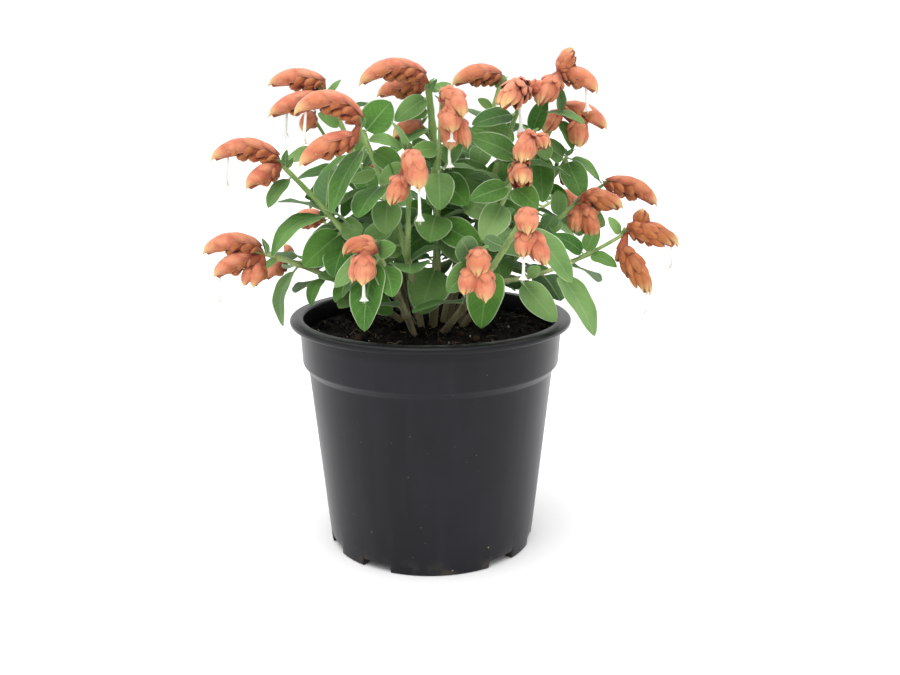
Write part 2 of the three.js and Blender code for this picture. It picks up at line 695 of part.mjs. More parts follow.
// ---- Flower heads ----

// A point on a spike's surface, a share of the way along its arc and turned about it from its right side.
function pointOnSpike(foot, [, heading, rise, droop, length], share, turn, radius) {
  const start = radians(rise);
  const pitch = start - radians(droop) * share;
  const bend = length / radians(droop);
  const level = direction(heading, 0);
  const side = direction(heading + 90, 0);
  const upward = UP.clone().multiplyScalar(Math.cos(pitch)).addScaledVector(level, -Math.sin(pitch));
  return foot
    .clone()
    .addScaledVector(level, bend * (Math.sin(start) - Math.sin(pitch)))
    .addScaledVector(UP, bend * (Math.cos(pitch) - Math.cos(start)))
    .addScaledVector(side, radius * Math.cos(turn))
    .addScaledVector(upward, radius * Math.sin(turn));
}

function spikeRadius(length, share, fullness) {
  const full = SPIKE_RADIUS * fullness * Math.min(1, 0.55 + (0.45 * length) / SHORT_SPIKE);
  const swell = SPIKE_WAIST + (1 - SPIKE_WAIST) * Math.sin(Math.PI * share);
  return full * swell * Math.sqrt(1 - SPIKE_TAPER * share ** 3);
}

// One spike: bracts in rows that lie over one another. At each whorl every second row ends in a tip that
// stands out, and the rows between them start their next bract close to the core, just behind the tips.
function spikeSolid(start, spike, foot) {
  const [, , , , length, fullness = 1] = spike;
  const ring = (share, reachOf) =>
    [...Array(BRACT_ROWS).keys()].map((row) => {
      const [reach, shift] = reachOf(row);
      const turn = (2 * Math.PI * (row + 0.5)) / BRACT_ROWS;
      const radius = reach * spikeRadius(length, share, fullness);
      return pointOnSpike(foot, spike, share + shift / length, turn, radius);
    });
  const footReach = CORE_FOOT_RADIUS / spikeRadius(length, 0, fullness);
  const toStart = start.clone().sub(foot);
  const rings = [ring(0, () => [footReach, 0]).map((point) => point.add(toStart))];
  const whorls = Math.max(2, Math.round(length / WHORL_PITCH));
  for (let whorl = 0; whorl < whorls; whorl++) {
    const share = (whorl + 0.8) / (whorls + 0.2);
    const endsHere = (row) => (row + whorl) % 2 === 0;
    rings.push(ring(share, (row) => (endsHere(row) ? [1, TIP_SHIFT] : [ROOT_REACH, -TIP_SHIFT])));
  }
  rings.push([pointOnSpike(foot, spike, 1 + SPIKE_END / length, 0, 0)]);
  return solidOf(loft(rings));
}

// The plain sleeve round a spike that its neighbours keep out of.
function spikeSleeve(start, spike, foot) {
  const [, , , , length, fullness = 1] = spike;
  const ring = (share, radius) =>
    [...Array(BRACT_ROWS).keys()].map((row) =>
      pointOnSpike(foot, spike, share, (2 * Math.PI * (row + 0.5)) / BRACT_ROWS, radius),
    );
  const toStart = start.clone().sub(foot);
  const root = ring(-GAP / length, CORE_FOOT_RADIUS + 2 * GAP).map((point) => point.add(toStart));
  const rings = SLEEVE_SHARES.map((share) => {
    const tipShare = Math.max(0, share - TIP_SHIFT / length);
    return ring(share, spikeRadius(length, tipShare, fullness) + 2 * GAP);
  });
  return solidOf(loft([root, ...rings, [pointOnSpike(foot, spike, 1 + SLEEVE_END / length, 0, 0)]]));
}

// A narrow white tube with a flared lip.
function corollaSolid(root, length, heading, pitch, margin) {
  const along = direction(heading, pitch);
  const side = direction(heading - 90, 0);
  const face = new THREE.Vector3().crossVectors(along, side);
  const ring = (share, radius) => {
    const centre = root.clone().addScaledVector(along, share * length);
    return ringAbout(centre, side, face, radius + margin, COROLLA_SIDES);
  };
  return solidOf(
    loft([ring(0, COROLLA_RADIUS), ring(COROLLA_THROAT, COROLLA_RADIUS), ring(1, COROLLA_LIP)]),
  );
}

// A flower head, or with a margin the space it needs.
function headSolid(name, margin = 0) {
  const curve = curves[name];
  const start = curve.getPoint(1).addScaledVector(curve.getTangent(1), GAP);
  const feet = HEADS[name].map(([offset]) => curve.getPoint(1).add(vector(offset)));
  const solids = HEADS[name].map((spike, i) =>
    margin ? spikeSleeve(start, spike, feet[i]) : spikeSolid(start, spike, feet[i]),
  );
  for (const [spike, share, length, heading, pitch] of COROLLAS[name] ?? []) {
    const root = pointOnSpike(feet[spike], HEADS[name][spike], share, 0, 0);
    solids.push(corollaSolid(root, length, heading, pitch, margin));
  }
  return union(solids);
}

// ---- Assembly ----

// Each solid keeps GAP clear of what came before it: first the bare stems, then the flower heads, then
// the leaves, one by one.
const names = Object.keys(curves);
const stemNames = Object.keys(STEMS);
const barePair = (stem) => {
  const shoots = names.filter((name) => stemOf(name) === stem);
  return [0, GAP].map((margin) => union(shoots.map((name) => shootSolid(name, margin))));
};

const bare = {};
const bareMargins = {};
for (const stem of stemNames) {
  const [solid, margin] = barePair(stem);
  bare[stem] = mainBody(clearOf(solid, Object.values(bareMargins)));
  bareMargins[stem] = margin;
}

const heads = {};
const headMargins = {};
for (const name of Object.keys(HEADS)) {
  const obstacles = [...Object.values(bareMargins), ...Object.values(headMargins)];
  heads[name] = mainBody(clearOf(headSolid(name), obstacles));
  headMargins[name] = headSolid(name, GAP);
}

const leavesOf = placeLeaves();
const leafMargins = [];
const stems = {};
for (const stem of stemNames) {
  const others = stemNames.filter((name) => name !== stem).map((name) => bareMargins[name]);
  const obstacles = [...others, ...Object.values(headMargins), ...leafMargins];
  const leaves = names.filter((name) => stemOf(name) === stem).flatMap((name) => leavesOf[name]);
  const blades = leaves.map((leaf) => mainBody(clearOf(leafSolid(leaf), obstacles)));
  stems[stem] = mainBody(union([bare[stem], ...blades]));
  leafMargins.push(...leaves.map((leaf) => leafSolid(leaf, GAP)));
}

const plastic = new THREE.MeshStandardMaterial({ color: 0x2b2c2f, roughness: 0.55, metalness: 0 });
const peat = new THREE.MeshStandardMaterial({ color: 0x1d1613, roughness: 1, metalness: 0 });
const foliage = new THREE.MeshStandardMaterial({ color: 0x4f8a45, roughness: 0.7, metalness: 0 });
const bracts = new THREE.MeshStandardMaterial({ color: 0xcc6a4c, roughness: 0.7, metalness: 0 });

const plant = new THREE.Group();
function add(name, solid, material) {
  const { vertProperties, triVerts } = solid.getMesh();
  const geometry = new THREE.BufferGeometry();
  geometry.setAttribute("position", new THREE.Float32BufferAttribute(vertProperties, 3));
  geometry.setIndex(new THREE.Uint32BufferAttribute(triVerts, 1));
  geometry.computeVertexNormals();
  const mesh = new THREE.Mesh(geometry, material);
  mesh.name = name;
  plant.add(mesh);
}

add("pot", potSolid(), plastic);
add("soil", soilSolid(Object.values(bareMargins)), peat);
for (const stem of stemNames) add(`leafy_stem_${stem}`, stems[stem], foliage);
for (const name of Object.keys(HEADS)) add(`flower_head_${name}`, heads[name], bracts);

export default plant;
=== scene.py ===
"""Looks of a potted shrimp plant (Justicia brandegeeana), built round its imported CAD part.

The frame is the part's: +Z up, the origin at the centre of the pot's base, the plant's front towards -Y.
Shapes are worked out in millimetres and become metres when a mesh is made.
"""

import math

import bmesh
import bpy
import numpy as np
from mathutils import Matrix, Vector, noise


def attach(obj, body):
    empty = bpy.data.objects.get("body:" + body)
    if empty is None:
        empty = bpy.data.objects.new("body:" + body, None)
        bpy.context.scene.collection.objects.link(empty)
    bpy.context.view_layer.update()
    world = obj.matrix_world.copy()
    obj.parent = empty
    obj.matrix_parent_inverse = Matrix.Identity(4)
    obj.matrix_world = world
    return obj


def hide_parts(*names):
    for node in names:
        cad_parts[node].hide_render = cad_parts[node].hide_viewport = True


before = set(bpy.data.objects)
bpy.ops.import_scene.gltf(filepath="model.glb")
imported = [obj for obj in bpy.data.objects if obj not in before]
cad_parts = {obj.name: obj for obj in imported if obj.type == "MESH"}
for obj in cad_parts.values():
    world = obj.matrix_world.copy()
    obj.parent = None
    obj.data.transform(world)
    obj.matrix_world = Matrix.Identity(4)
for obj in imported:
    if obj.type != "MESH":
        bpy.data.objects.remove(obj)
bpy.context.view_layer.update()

MM = 0.001
UP = np.array([0.0, 0.0, 1.0])

# ---- Sizes shared with the part ----

GAP = 0.3  # between the soil and the pot

RIM_RADIUS = 85.0  # outside of the rolled rim
MOUTH_RADIUS = 76.7
MOUTH_HEIGHT = 141.8
FOOT_RADIUS = 63.3
WALL = 2.2
WALL_SLOPE = 0.0994  # how much wider the wall gets with each mm of height
COLLAR_HEIGHT = 115.0
COLLAR_STEP = 3.0  # how far the collar stands out
COLLAR_LEAN = 1.2
STEP_HEIGHT = 4.5  # height of the shoulder under the collar
BEAD_DEPTH = 4.0
FLOOR_UNDERSIDE = 3.0
FLOOR_TOP = 5.4
FOOT_RING = 4.0
PAD_RADIUS = 14.0
NOTCH_PLACES = 10  # the foot's notches lie at tenths of a turn
NOTCHES_LEFT_OUT = (0, 5)
NOTCH_FRONT_DEG = 276.0
NOTCH_WIDTH = 19.0
NOTCH_HEIGHT = 4.4
DRAIN_RADIUS = 4.0
DRAIN_CIRCLE = 46.0
DRAINS = 6

SOIL_HEIGHT = 131.0  # at the wall
SOIL_RINGS = ((0, 3), (42, 1.8), (60, 0.8), (75.7, 0))  # radius, and height over that at the wall
SOIL_LUMP = 1.4

STEM_DEPTH = 6.0  # shown below the surface
STEM_ROOT_RADIUS = 2.0
STEM_GIRTH = {"c": 2.1, "e": 2.7}  # root radius of the two stouter stems
STEM_TAPER = 0.65
SHOOT_ROOT_RADIUS = 1.5

PETIOLE = 0.13  # a leaf's stalk, as a share of the leaf
PETIOLE_RADIUS = 0.8
FOLD = 0.16  # rise of a blade's halves from its midrib
ARCH = 0.07  # rise of a leaf's middle, as a share of its length

SPIKE_RADIUS = 7.4
SHORT_SPIKE = 30.0  # a spike shorter than this is thinner too
SPIKE_WAIST = 0.72  # radius at its foot, as a share
SPIKE_TAPER = 0.93

# Each stem: where it leaves the soil, the point that bends it, and its tip.
STEMS = {
    "a": ((-12, 8), (-56, -8, 170), (-99, -12, 181)),
    "b": ((-9, 7), (-40, -6, 186), (-86, -15, 234)),
    "c": ((-5, -7), (-13, -26, 200), (-38, -42, 256)),
    "d": ((-7, 17), (-34, 22, 215), (-64, 25, 274)),
    "e": ((1, 1), (8, -4, 205), (-1, -5, 278)),
    "g": ((7, 17), (24, 20, 215), (42, 30, 278)),
    "h": ((9, 6), (30, -2, 210), (54, -7, 272)),
    "i": ((17, 11), (46, 4, 222), (74, 0, 281)),
    "l": ((18, 1), (48, -2, 182), (88, -2, 209)),
    "n": ((5, -15), (32, -36, 168), (51, -62, 209)),
    "o": ((-9, -15), (-20, -38, 168), (-29, -66, 194)),
    "v": ((12, 25), (46, 30, 190), (79, 34, 227)),
    "w": ((-14, 24), (-28, 48, 190), (-36, 84, 222)),
    "x": ((0, 27), (4, 62, 190), (9, 98, 206)),
}
# Each side shoot: the shoot it leaves, how far along that, the point that bends it, and its tip.
SIDE_SHOOTS = {
    "f": ("e", 0.25, (4, -24, 215), (7, -28, 272)),
    "r": ("e", 0.78, (-1, 2, 248), (-5, 5, 254)),
    "j": ("i", 0.35, (54, 16, 215), (78, 18, 262)),
    "k": ("h", 0.25, (32, -22, 190), (50, -34, 232)),
    "s": ("h", 0.5, (46, -20, 220), (56, -32, 249)),
    "y": ("l", 0.75, (84, 4, 208), (104, 5, 220)),
    "p": ("n", 0.3, (22, -44, 168), (28, -66, 190)),
    "q": ("c", 0.35, (-12, -34, 200), (-10, -48, 243)),
    "t": ("d", 0.4, (-46, 34, 215), (-73, 38, 258)),
    "u": ("b", 0.3, (-55, 18, 172), (-91, 26, 169)),
    "m": ("n", 0.5, (66, -20, 164), (115, -14, 194)),
    "vj": ("v", 0.7, (78, 24, 224), (82, 18, 235)),
    "z": ("v", 0.4, (62, 52, 196), (80, 68, 203)),
    "wl": ("w", 0.3, (-50, 46, 176), (-72, 64, 190)),
    "xr": ("x", 0.3, (30, 66, 170), (46, 92, 178)),
}
# Leaves by their shoot: how far along it, heading, pitch, length, width, roll and, where given, arch.
LEAVES = {
    "a": [
        (0.75, 227, -69, 38, 18, 15, 0.16), (0.57, 230, -52, 21, 12, 0, 0.18), (0.96, 233, 71, 11, 6, 0),
        (0.89, 216, -32, 12, 6, -25),
    ],
    "b": [
        (0.68, 203, -31, 42, 20, -12, 0.19), (0.71, 302, 74, 26, 16, -15), (0.92, 217, -47, 24, 14, -8),
        (0.96, 292, 69, 12, 6, 30), (0.95, 69, 53, 11, 6, 0), (0.59, 208, -36, 32, 20, -70),
        (0.62, 338, -8, 16, 14, 77), (0.62, 150, -35, 29, 14, -67),
    ],
    "c": [
        (0.93, 349, -12, 21, 10, 36, 0.14), (0.77, 170, -16, 18, 8, -62), (0.91, 221, -56, 44, 20, 0),
        (0.95, 34, 44, 25, 18, 67), (0.66, 259, -68, 22, 17, -15), (0.88, 19, -32, 22, 13, 84),
        (0.53, 159, -25, 25, 12, -82),
    ],
    "d": [(0.96, 28, 51, 14, 6, 25), (0.82, 195, 30, 17, 8, -81), (0.69, 38, 67, 17, 10, 53)],
    "t": [(0.58, 180, -10, 32, 15, -27), (0.41, 210, -56, 21, 10, -37)],
    "e": [
        (0.95, 207, -32, 26, 12, -62), (0.89, 173, -9, 16, 8, -79), (0.96, 25, 21, 15, 7, 35),
        (0.96, 306, 46, 11, 5, 0), (0.83, 16, -24, 47, 19, 35), (0.83, 209, -30, 34, 15, -10),
        (0.66, 205, 54, 24, 13, -96), (0.78, 316, -51, 19, 10, 0), (0.6, 17, 13, 34, 24, 75),
        (0.28, 251, -42, 37, 26, -24), (0.52, 153, -17, 23, 15, -92), (0.43, 203, -32, 31, 18, -60),
        (0.41, 342, -36, 31, 17, 61), (0.67, 353, 46, 23, 12, 82),
    ],
    "f": [
        (0.73, 214, 0, 18, 10, -70), (0.63, 274, -58, 26, 17, 0), (0.38, 256, -42, 22, 22, -18),
        (0.33, 335, -24, 31, 18, 60),
    ],
    "g": [
        (0.96, 38, 64, 11, 8, 52), (0.88, 204, 31, 12, 6, -77), (0.79, 30, -19, 21, 12, 80),
        (0.73, 245, -56, 18, 14, -25),
    ],
    "h": [
        (0.91, 209, -11, 30, 14, -40), (0.82, 189, 28, 15, 11, -93), (0.8, 180, 16, 22, 10, -63),
        (0.58, 38, 54, 22, 15, 53), (0.78, 269, -21, 28, 14, 0),
    ],
    "s": [(0.77, 188, 24, 31, 14, -73)],
    "i": [(0.97, 28, -74, 16, 10, 0), (0.74, 332, 68, 23, 11, 100)],
    "j": [(0.96, 326, -61, 22, 10, 20), (0.78, 276, -36, 15, 10, 15), (0.73, 272, -55, 35, 16, 0)],
    "vj": [
        (0.96, 303, -53, 28, 16, 33), (0.98, 0, -34, 25, 12, 28, 0.1), (0.98, 196, 39, 18, 9, -57),
        (0.89, 200, 29, 14, 8, -88),
    ],
    "v": [(0.87, 345, -36, 19, 9, 47)],
    "k": [(0.88, 208, -14, 27, 13, -60), (0.88, 315, -29, 23, 14, 55), (0.77, 228, -47, 28, 17, -44)],
    "l": [
        (0.73, 285, 34, 20, 11, -30), (0.96, 11, -30, 23, 12, 82), (0.84, 240, -48, 10, 8, -25),
        (0.84, 84, 58, 19, 10, 0), (0.58, 231, 13, 45, 20, -55),
    ],
    "m": [
        (0.74, 191, 32, 24, 11, -63, 0.1), (0.74, 38, 59, 19, 10, 33), (0.75, 340, -20, 19, 13, 25),
        (0.96, 194, 53, 14, 7, -68), (0.54, 317, -51, 46, 25, 0), (0.28, 330, -43, 33, 16, 53),
        (0.34, 345, 40, 10, 7, 88),
    ],
    "n": [(0.94, 340, -45, 42, 20, 24), (0.77, 221, 25, 17, 9, 90), (0.63, 248, -59, 37, 22, 0)],
    "p": [(0.84, 221, -32, 25, 14, -45), (0.82, 244, 40, 26, 14, 55)],
    "o": [
        (0.88, 242, -68, 42, 22, 0), (0.79, 287, -35, 26, 15, 0), (0.91, 308, 18, 19, 10, 85),
        (0.92, 185, -39, 30, 14, -40), (0.85, 191, -45, 30, 14, -19),
    ],
    "q": [(0.65, 200, 62, 24, 11, -50), (0.95, 160, 61, 22, 9, -5), (0.9, 161, -28, 20, 11, -70)],
}
# The rule for the other leaves of a shoot: how many, from where to where along it, and the middle and the
# spread of their headings.
FILLING = {
    "e": (6, 0.25, 0.8, 90, 180), "c": (4, 0.25, 0.75, 200, 180), "h": (5, 0.25, 0.7, 250, 180),
    "g": (6, 0.25, 0.9, 80, 150), "i": (6, 0.25, 0.9, 60, 150), "d": (6, 0.25, 0.9, 110, 150),
    "b": (5, 0.25, 0.8, 90, 180), "v": (6, 0.3, 0.95, 60, 150), "w": (7, 0.3, 0.95, 110, 160),
    "x": (7, 0.3, 0.95, 90, 160), "n": (3, 0.25, 0.5, 220, 120), "o": (3, 0.25, 0.55, 160, 120),
    "m": (3, 0.3, 0.8, 60, 110), "l": (4, 0.3, 0.9, 60, 120), "a": (3, 0.4, 0.9, 60, 100),
    "u": (3, 0.3, 0.9, 90, 120), "t": (3, 0.4, 0.9, 120, 120), "j": (2, 0.4, 0.8, 60, 100),
    "y": (2, 0.4, 0.9, 60, 90), "z": (6, 0.3, 0.95, 30, 160), "wl": (5, 0.3, 0.95, 150, 160),
    "xr": (5, 0.3, 0.95, 60, 160),
}
# Spikes by their shoot: where the foot lies from its tip, heading, rise, droop, length and, where given,
# fullness.
HEADS = {
    "a": [
        ((-2, 0, 2), 190, 36, 80, 34, 0.97), ((-5, -3, -4), 196, 7, 60, 25),
        ((1, -2, -6), 226, -50, 25, 15, 0.9), ((-5, -3, -8), 226, -46, 25, 12, 0.8),
    ],
    "u": [((0, 0, 1), 198, -21, 40, 18), ((4, -2, 4), 170, 64, 10, 9, 0.7)],
    "b": [
        ((-2, 0, 2), 190, 39, 82, 39, 0.95), ((-1, -3, -4), 205, -9, 45, 21),
        ((-1, 4, -4), 160, -25, 30, 14, 0.8),
    ],
    "d": [((-1, 1, 3), 176, 26, 55, 34, 0.95), ((-3, -3, -5), 192, -4, 32, 32, 0.95)],
    "c": [((0, 0, 2), 198, 60, 110, 40, 0.94), ((-2, -4, -8), 199, 0, 50, 34, 0.95)],
    "t": [((0, 0, 1), 238, -31, 40, 14)],
    "e": [((-3, -2, 3), 193, 35, 86, 40, 0.92), ((-3, 5, -2), 165, 10, 45, 29, 0.95)],
    "r": [((-1, 0, 0), 224, -4, 30, 22)],
    "q": [((0, -3, -2), 290, -22, 50, 26), ((-3, -5, -14), 232, -42, 28, 18)],
    "f": [
        ((2, 2, 0), 300, -4, 60, 24), ((4, -1, -12), 276, -58, 20, 20, 0.85),
        ((9, -1, -13), 312, -60, 12, 18, 0.75), ((4, -6, -7), 284, -50, 20, 16, 1.1),
    ],
    "g": [((-1, 0, 3), 201, 23, 65, 32, 0.95)],
    "h": [((0, -2, 2), 241, 9, 60, 31), ((3, 0, 1), 10, 30, 40, 10, 0.9)],
    "i": [
        ((1, 0, 3), 345, 68, 20, 15), ((-1, -2, 0), 216, -36, 30, 21, 1.1),
        ((2, 0, 1), 348, 10, 75, 24, 0.95),
    ],
    "j": [
        ((-2, -2, -1), 222, -34, 25, 17, 0.85), ((1, 0, 1), 351, 2, 55, 30, 0.88),
        ((9, -1, -6), 285, -58, 18, 17, 1.2),
    ],
    "s": [((0, 0, 1), 250, -21, 40, 23), ((4, 0, 0), 300, -25, 30, 10, 0.9)],
    "k": [((0, -1, 0), 270, -2, 40, 22)],
    "v": [((2, 0, -1), 317, -31, 28, 17, 0.95)],
    "n": [
        ((1, -1, 3), 272, -25, 45, 16, 1.15), ((0, -5, -7), 262, -62, 15, 15, 0.9),
        ((4, -4, -8), 316, -55, 12, 20, 0.9),
    ],
    "o": [
        ((1, 0, -4), 188, 64, 138, 21, 0.8), ((-7, -3, -5), 232, -62, 12, 15, 0.75),
        ((-4, -5, -4), 264, -60, 14, 17, 1.05),
    ],
    "p": [
        ((-1, -2, 1), 270, -30, 45, 15, 1.15), ((-4, -5, -7), 234, -56, 12, 16),
        ((1, -5, -7), 280, -62, 12, 19),
    ],
    "l": [
        ((3, 0, 4), 338, 8, 52, 24, 0.95), ((-2, -3, -3), 262, -58, 15, 15, 0.85),
        ((3, -4, -2), 302, -56, 20, 20),
    ],
    "y": [((1, 0, -1), 0, 8, 62, 34, 0.97)],
    "m": [
        ((1, 0, 2), 347, 2, 45, 30), ((6, 0, 2), 24, 75, 5, 12, 0.9),
        ((-4, -4, -9), 328, -42, 28, 32, 0.95),
    ],
    "z": [((1, 1, 1), 35, 10, 60, 27)],
    "w": [((0, 1, 1), 110, 25, 75, 32), ((-2, 2, -3), 150, -20, 40, 22)],
    "wl": [((-1, 1, 1), 150, 15, 65, 28)],
    "x": [((0, 1, 1), 85, 20, 70, 30), ((2, 1, -3), 40, -20, 40, 22)],
    "xr": [((1, 1, 0), 60, 5, 60, 26)],
}
# Corollas by their shoot: number of the spike, how far along that, length, heading and pitch.
COROLLAS = {
    "q": [(0, 0.75, 22, 290, -84)],
    "o": [(2, 0.6, 15, 250, -86)],
    "n": [(1, 0.7, 16, 270, -86)],
    "m": [(2, 0.9, 14, 300, -84), (0, 0.85, 15, 320, -82)],
    "f": [(3, 0.7, 9, 260, -86), (1, 0.8, 13, 280, -86)],
    "h": [(0, 0.3, 24, 300, -80)],
    "b": [(0, 0.7, 20, 200, -82)],
    "a": [(1, 0.8, 18, 200, -84)],
    "d": [(1, 0.6, 18, 200, -84)],
    "c": [(0, 0.8, 20, 200, -84)],
    "i": [(2, 0.6, 17, 330, -84)],
    "x": [(0, 0.7, 18, 90, -80)],
    "w": [(0, 0.7, 18, 110, -80)],
}
FILLING_SEED = 1
FILLING_TRIES = 14  # directions tried for one leaf before it is left out
FILLING_LENGTH = (42.0, 28.0)  # at the foot and at the tip of a shoot
FILLING_WIDTH = 0.62  # as a share of the length
LENGTH_SPREAD = 5.0
HIGHEST_PITCH = 18.0
PITCH_SPREAD = 60.0
ROLL_SPREAD = 30.0
LOWEST_TIP = 150.0
ROOM_STEPS = 12  # balls along a shoot
SHOOT_ROOM = 2.5  # radius of the room kept about a shoot
SPIKE_ROOM = 6.0
BLADE_ROOM = 0.26  # as a share of a blade's width
ELBOW_ROOM = 0.8

# ---- Vectors, curves and objects ----


def unit(vector):
    return vector / np.linalg.norm(vector, axis=-1, keepdims=True)


def direction(heading, pitch):
    turn, rise = math.radians(heading), math.radians(pitch)
    return np.array([math.cos(rise) * math.cos(turn), math.cos(rise) * math.sin(turn), math.sin(rise)])


def angles_of(vector):
    """The heading and the pitch of a direction, in degrees."""
    return math.degrees(math.atan2(vector[1], vector[0])), math.degrees(math.asin(vector[2]))


def turned(vector, axis, angle):
    """vector turned about a unit axis."""
    along = axis * np.dot(axis, vector)
    return along + (vector - along) * math.cos(angle) + np.cross(axis, vector) * math.sin(angle)


def between(ends, share):
    return ends[0] + (ends[1] - ends[0]) * share


def smooth(low, high, value):
    x = np.clip((value - low) / (high - low), 0, 1)
    return x * x * (3 - 2 * x)


def around(number):
    """Even turns about a circle."""
    return np.arange(number) * 2 * math.pi / number


def added(name, data):
    """A new object in the scene."""
    made = bpy.data.objects.new(name, data)
    bpy.context.scene.collection.objects.link(made)
    return made


class Curve:
    """A quadratic Bezier curve through three points."""

    def __init__(self, root, bend, tip):
        self.points = np.array([root, bend, tip], float)

    def at(self, t):
        t = np.asarray(t, float)[..., None]
        root, bend, tip = self.points
        return (1 - t) ** 2 * root + 2 * t * (1 - t) * bend + t**2 * tip

    def tangent(self, t):
        root, bend, tip = self.points
        return unit((1 - t) * (bend - root) + t * (tip - bend))


curves = {}
for name, (root, bend, tip) in STEMS.items():
    curves[name] = Curve([*root, SOIL_HEIGHT], bend, tip)
for name, (parent, at, bend, tip) in SIDE_SHOOTS.items():
    curves[name] = Curve(curves[parent].at(at), bend, tip)


def stem_of(name):
    return name if name in STEMS else stem_of(SIDE_SHOOTS[name][0])


# ---- Camera ----

CAMERA_PLACE = (11.7, -593.0, 275.5)
CAMERA_TILT_DEG = 14.05
LENS_MM = 40.0
SENSOR_MM = 36.0

camera = added("camera", bpy.data.cameras.new("camera"))
camera.location = Vector(CAMERA_PLACE) * MM
camera.rotation_euler = (math.radians(90 - CAMERA_TILT_DEG), 0, 0)
camera.data.lens = LENS_MM
camera.data.sensor_width = SENSOR_MM
bpy.context.scene.camera = camera

# ---- Meshes ----


class Shape:
    """Closed surfaces gathered into one mesh. Each vertex has two notes for its material, place and mood."""

    def __init__(self):
        self.points, self.faces, self.place, self.mood = [], [], [], []
        self.count = 0

    def add(self, points, faces, place=(0, 0, 0), mood=(0, 0, 0)):
        self.faces += [[i + self.count for i in face] for face in faces]
        self.points.append(points)
        self.place.append(np.broadcast_to(np.asarray(place, float), points.shape))
        self.mood.append(np.broadcast_to(np.asarray(mood, float), points.shape))
        self.count += len(points)

    def mesh(self, name):
        mesh = bpy.data.meshes.new(name)
        mesh.from_pydata((np.concatenate(self.points) * MM).tolist(), [], self.faces)
        return mesh

    def piece(self, name, material, slot, node, sharp_deg=60):
        """The shape as an object of the scene that stands for a node of the part."""
        mesh = self.mesh(name)
        for note, values in (("place", self.place), ("mood", self.mood)):
            layer = mesh.attributes.new(note, "FLOAT_VECTOR", "POINT")
            layer.data.foreach_set("vector", np.concatenate(values).astype(np.float32).ravel())
        mesh.polygons.foreach_set("use_smooth", [True] * len(mesh.polygons))
        mesh.set_sharp_from_angle(angle=math.radians(sharp_deg))
        mesh.materials.append(material)
        made = added(name, mesh)
        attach(made, "root")
        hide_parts(node)
        return made


def tube_faces(rings, sides):
    """Faces of a tube closed by a point at either end. Seen from its end, its rings turn anticlockwise."""
    faces = []
    for j in range(sides):
        k = (j + 1) % sides
        faces.append([0, 1 + k, 1 + j])
        for i in range(rings - 1):
            a, b = 1 + i * sides, 1 + (i + 1) * sides
            faces.append([a + j, a + k, b + k, b + j])
        last = 1 + (rings - 1) * sides
        faces.append([last + j, last + k, last + sides])
    return faces


def ring(centre, radius, turn, side, other):
    """Points about a centre, at one radius or one for each turn."""
    return centre + radius * (np.cos(turn)[:, None] * side + np.sin(turn)[:, None] * other)


def tube(centres, radii, sides, start_side=None):
    """Points and faces of a round tube along centres, with one radius for each or one for each side too."""
    centres = np.asarray(centres, float)
    radii = np.asarray(radii, float)
    radii = radii[:, None] if radii.ndim == 1 else radii
    ahead = unit(np.gradient(centres, axis=0))
    side = np.cross(ahead[0], UP) if start_side is None else start_side
    if np.linalg.norm(side) < 1e-3:
        side = np.array([1.0, 0.0, 0.0])
    rings = []
    for centre, axis, radius in zip(centres, ahead, radii):
        side = unit(side - axis * np.dot(axis, side))
        rings.append(ring(centre, radius[:, None], around(sides), side, np.cross(axis, side)))
    return np.concatenate([centres[:1], *rings, centres[-1:]]), tube_faces(len(centres), sides)


def by_ring(ends, rings, sides):
    """One number for each point of a tube: those of its ends, and one for each ring."""
    return np.concatenate([ends[:1], np.repeat(rings, sides), ends[-1:]])


def sheet_template(rows, columns):
    """How the two faces of a thin sheet share their rim: the grid point each vertex takes, and the faces.

    The first and last row of the grid are one point each. Seen from outside, columns run anticlockwise."""
    top = np.arange(rows * columns).reshape(rows, columns)
    top[0], top[-1] = top[0, 0], top[-1, 0]
    bottom = top + rows * columns
    bottom[[0, -1]], bottom[:, [0, -1]] = top[[0, -1]], top[:, [0, -1]]
    flat, index = np.unique([top, bottom], return_inverse=True)
    faces = []
    for grid, order in zip(index.reshape(2, rows, columns), (1, -1)):
        for i in range(rows - 1):
            for j in range(columns - 1):
                corners = [grid[i, j], grid[i, j + 1], grid[i + 1, j + 1], grid[i + 1, j]][::order]
                faces.append([int(c) for k, c in enumerate(corners) if c != corners[k - 1]])
    return flat, faces


TEMPLATES = {}


def add_sheet(shape, top, bottom, place, mood):
    """A thin closed sheet between two grids of points.

    place is a grid for the top face, and the bottom face has 1 more in its third number."""
    size = top.shape[:2]
    if size not in TEMPLATES:
        TEMPLATES[size] = sheet_template(*size)
    flat, faces = TEMPLATES[size]
    below = place.copy()
    below[..., 2] += 1
    both, notes = (
        np.concatenate([one.reshape(-1, 3), other.reshape(-1, 3)])[flat]
        for one, other in ((top, bottom), (place, below))
    )
    shape.add(both, faces, notes, mood)


# ---- Leaves ----

LEAF_GRID = (20, 11)
SMALL_GRID = (13, 9)
SMALL_LEAF = 26.0
YOUNG_LEAF = (10.0, 24.0)  # lengths between which a leaf grows out of its pale green
BLADE_ROUND = 0.45  # how fast a blade widens from its root: less is rounder
BLADE_POINT = 0.68  # the same at its tip
CROWDED_ENDS = 0.35  # how much the rows of points crowd towards the blade's ends
RIB_WIDTH = 1.2  # how soft the fold at the midrib is
VEINS = 6.5  # pairs of side veins
VEIN_RAKE = 0.26  # how far a side vein has run forward at the margin, as a share of the blade
VEIN_CURVE = 1.4
QUILTING = 0.22  # how far the blade swells between its side veins
MARGIN_WAVE = 0.5
MARGIN_WAVES = 2.2  # waves along the margin
SWAY = 0.03  # how far a leaf bends sideways, as a share of its length
TWIST_DEG = 8.0
BLADE_HALF = 0.17  # half the thickness in the middle
STALK_REACH = 0.93  # how far along the blade its stalk and midrib stand out
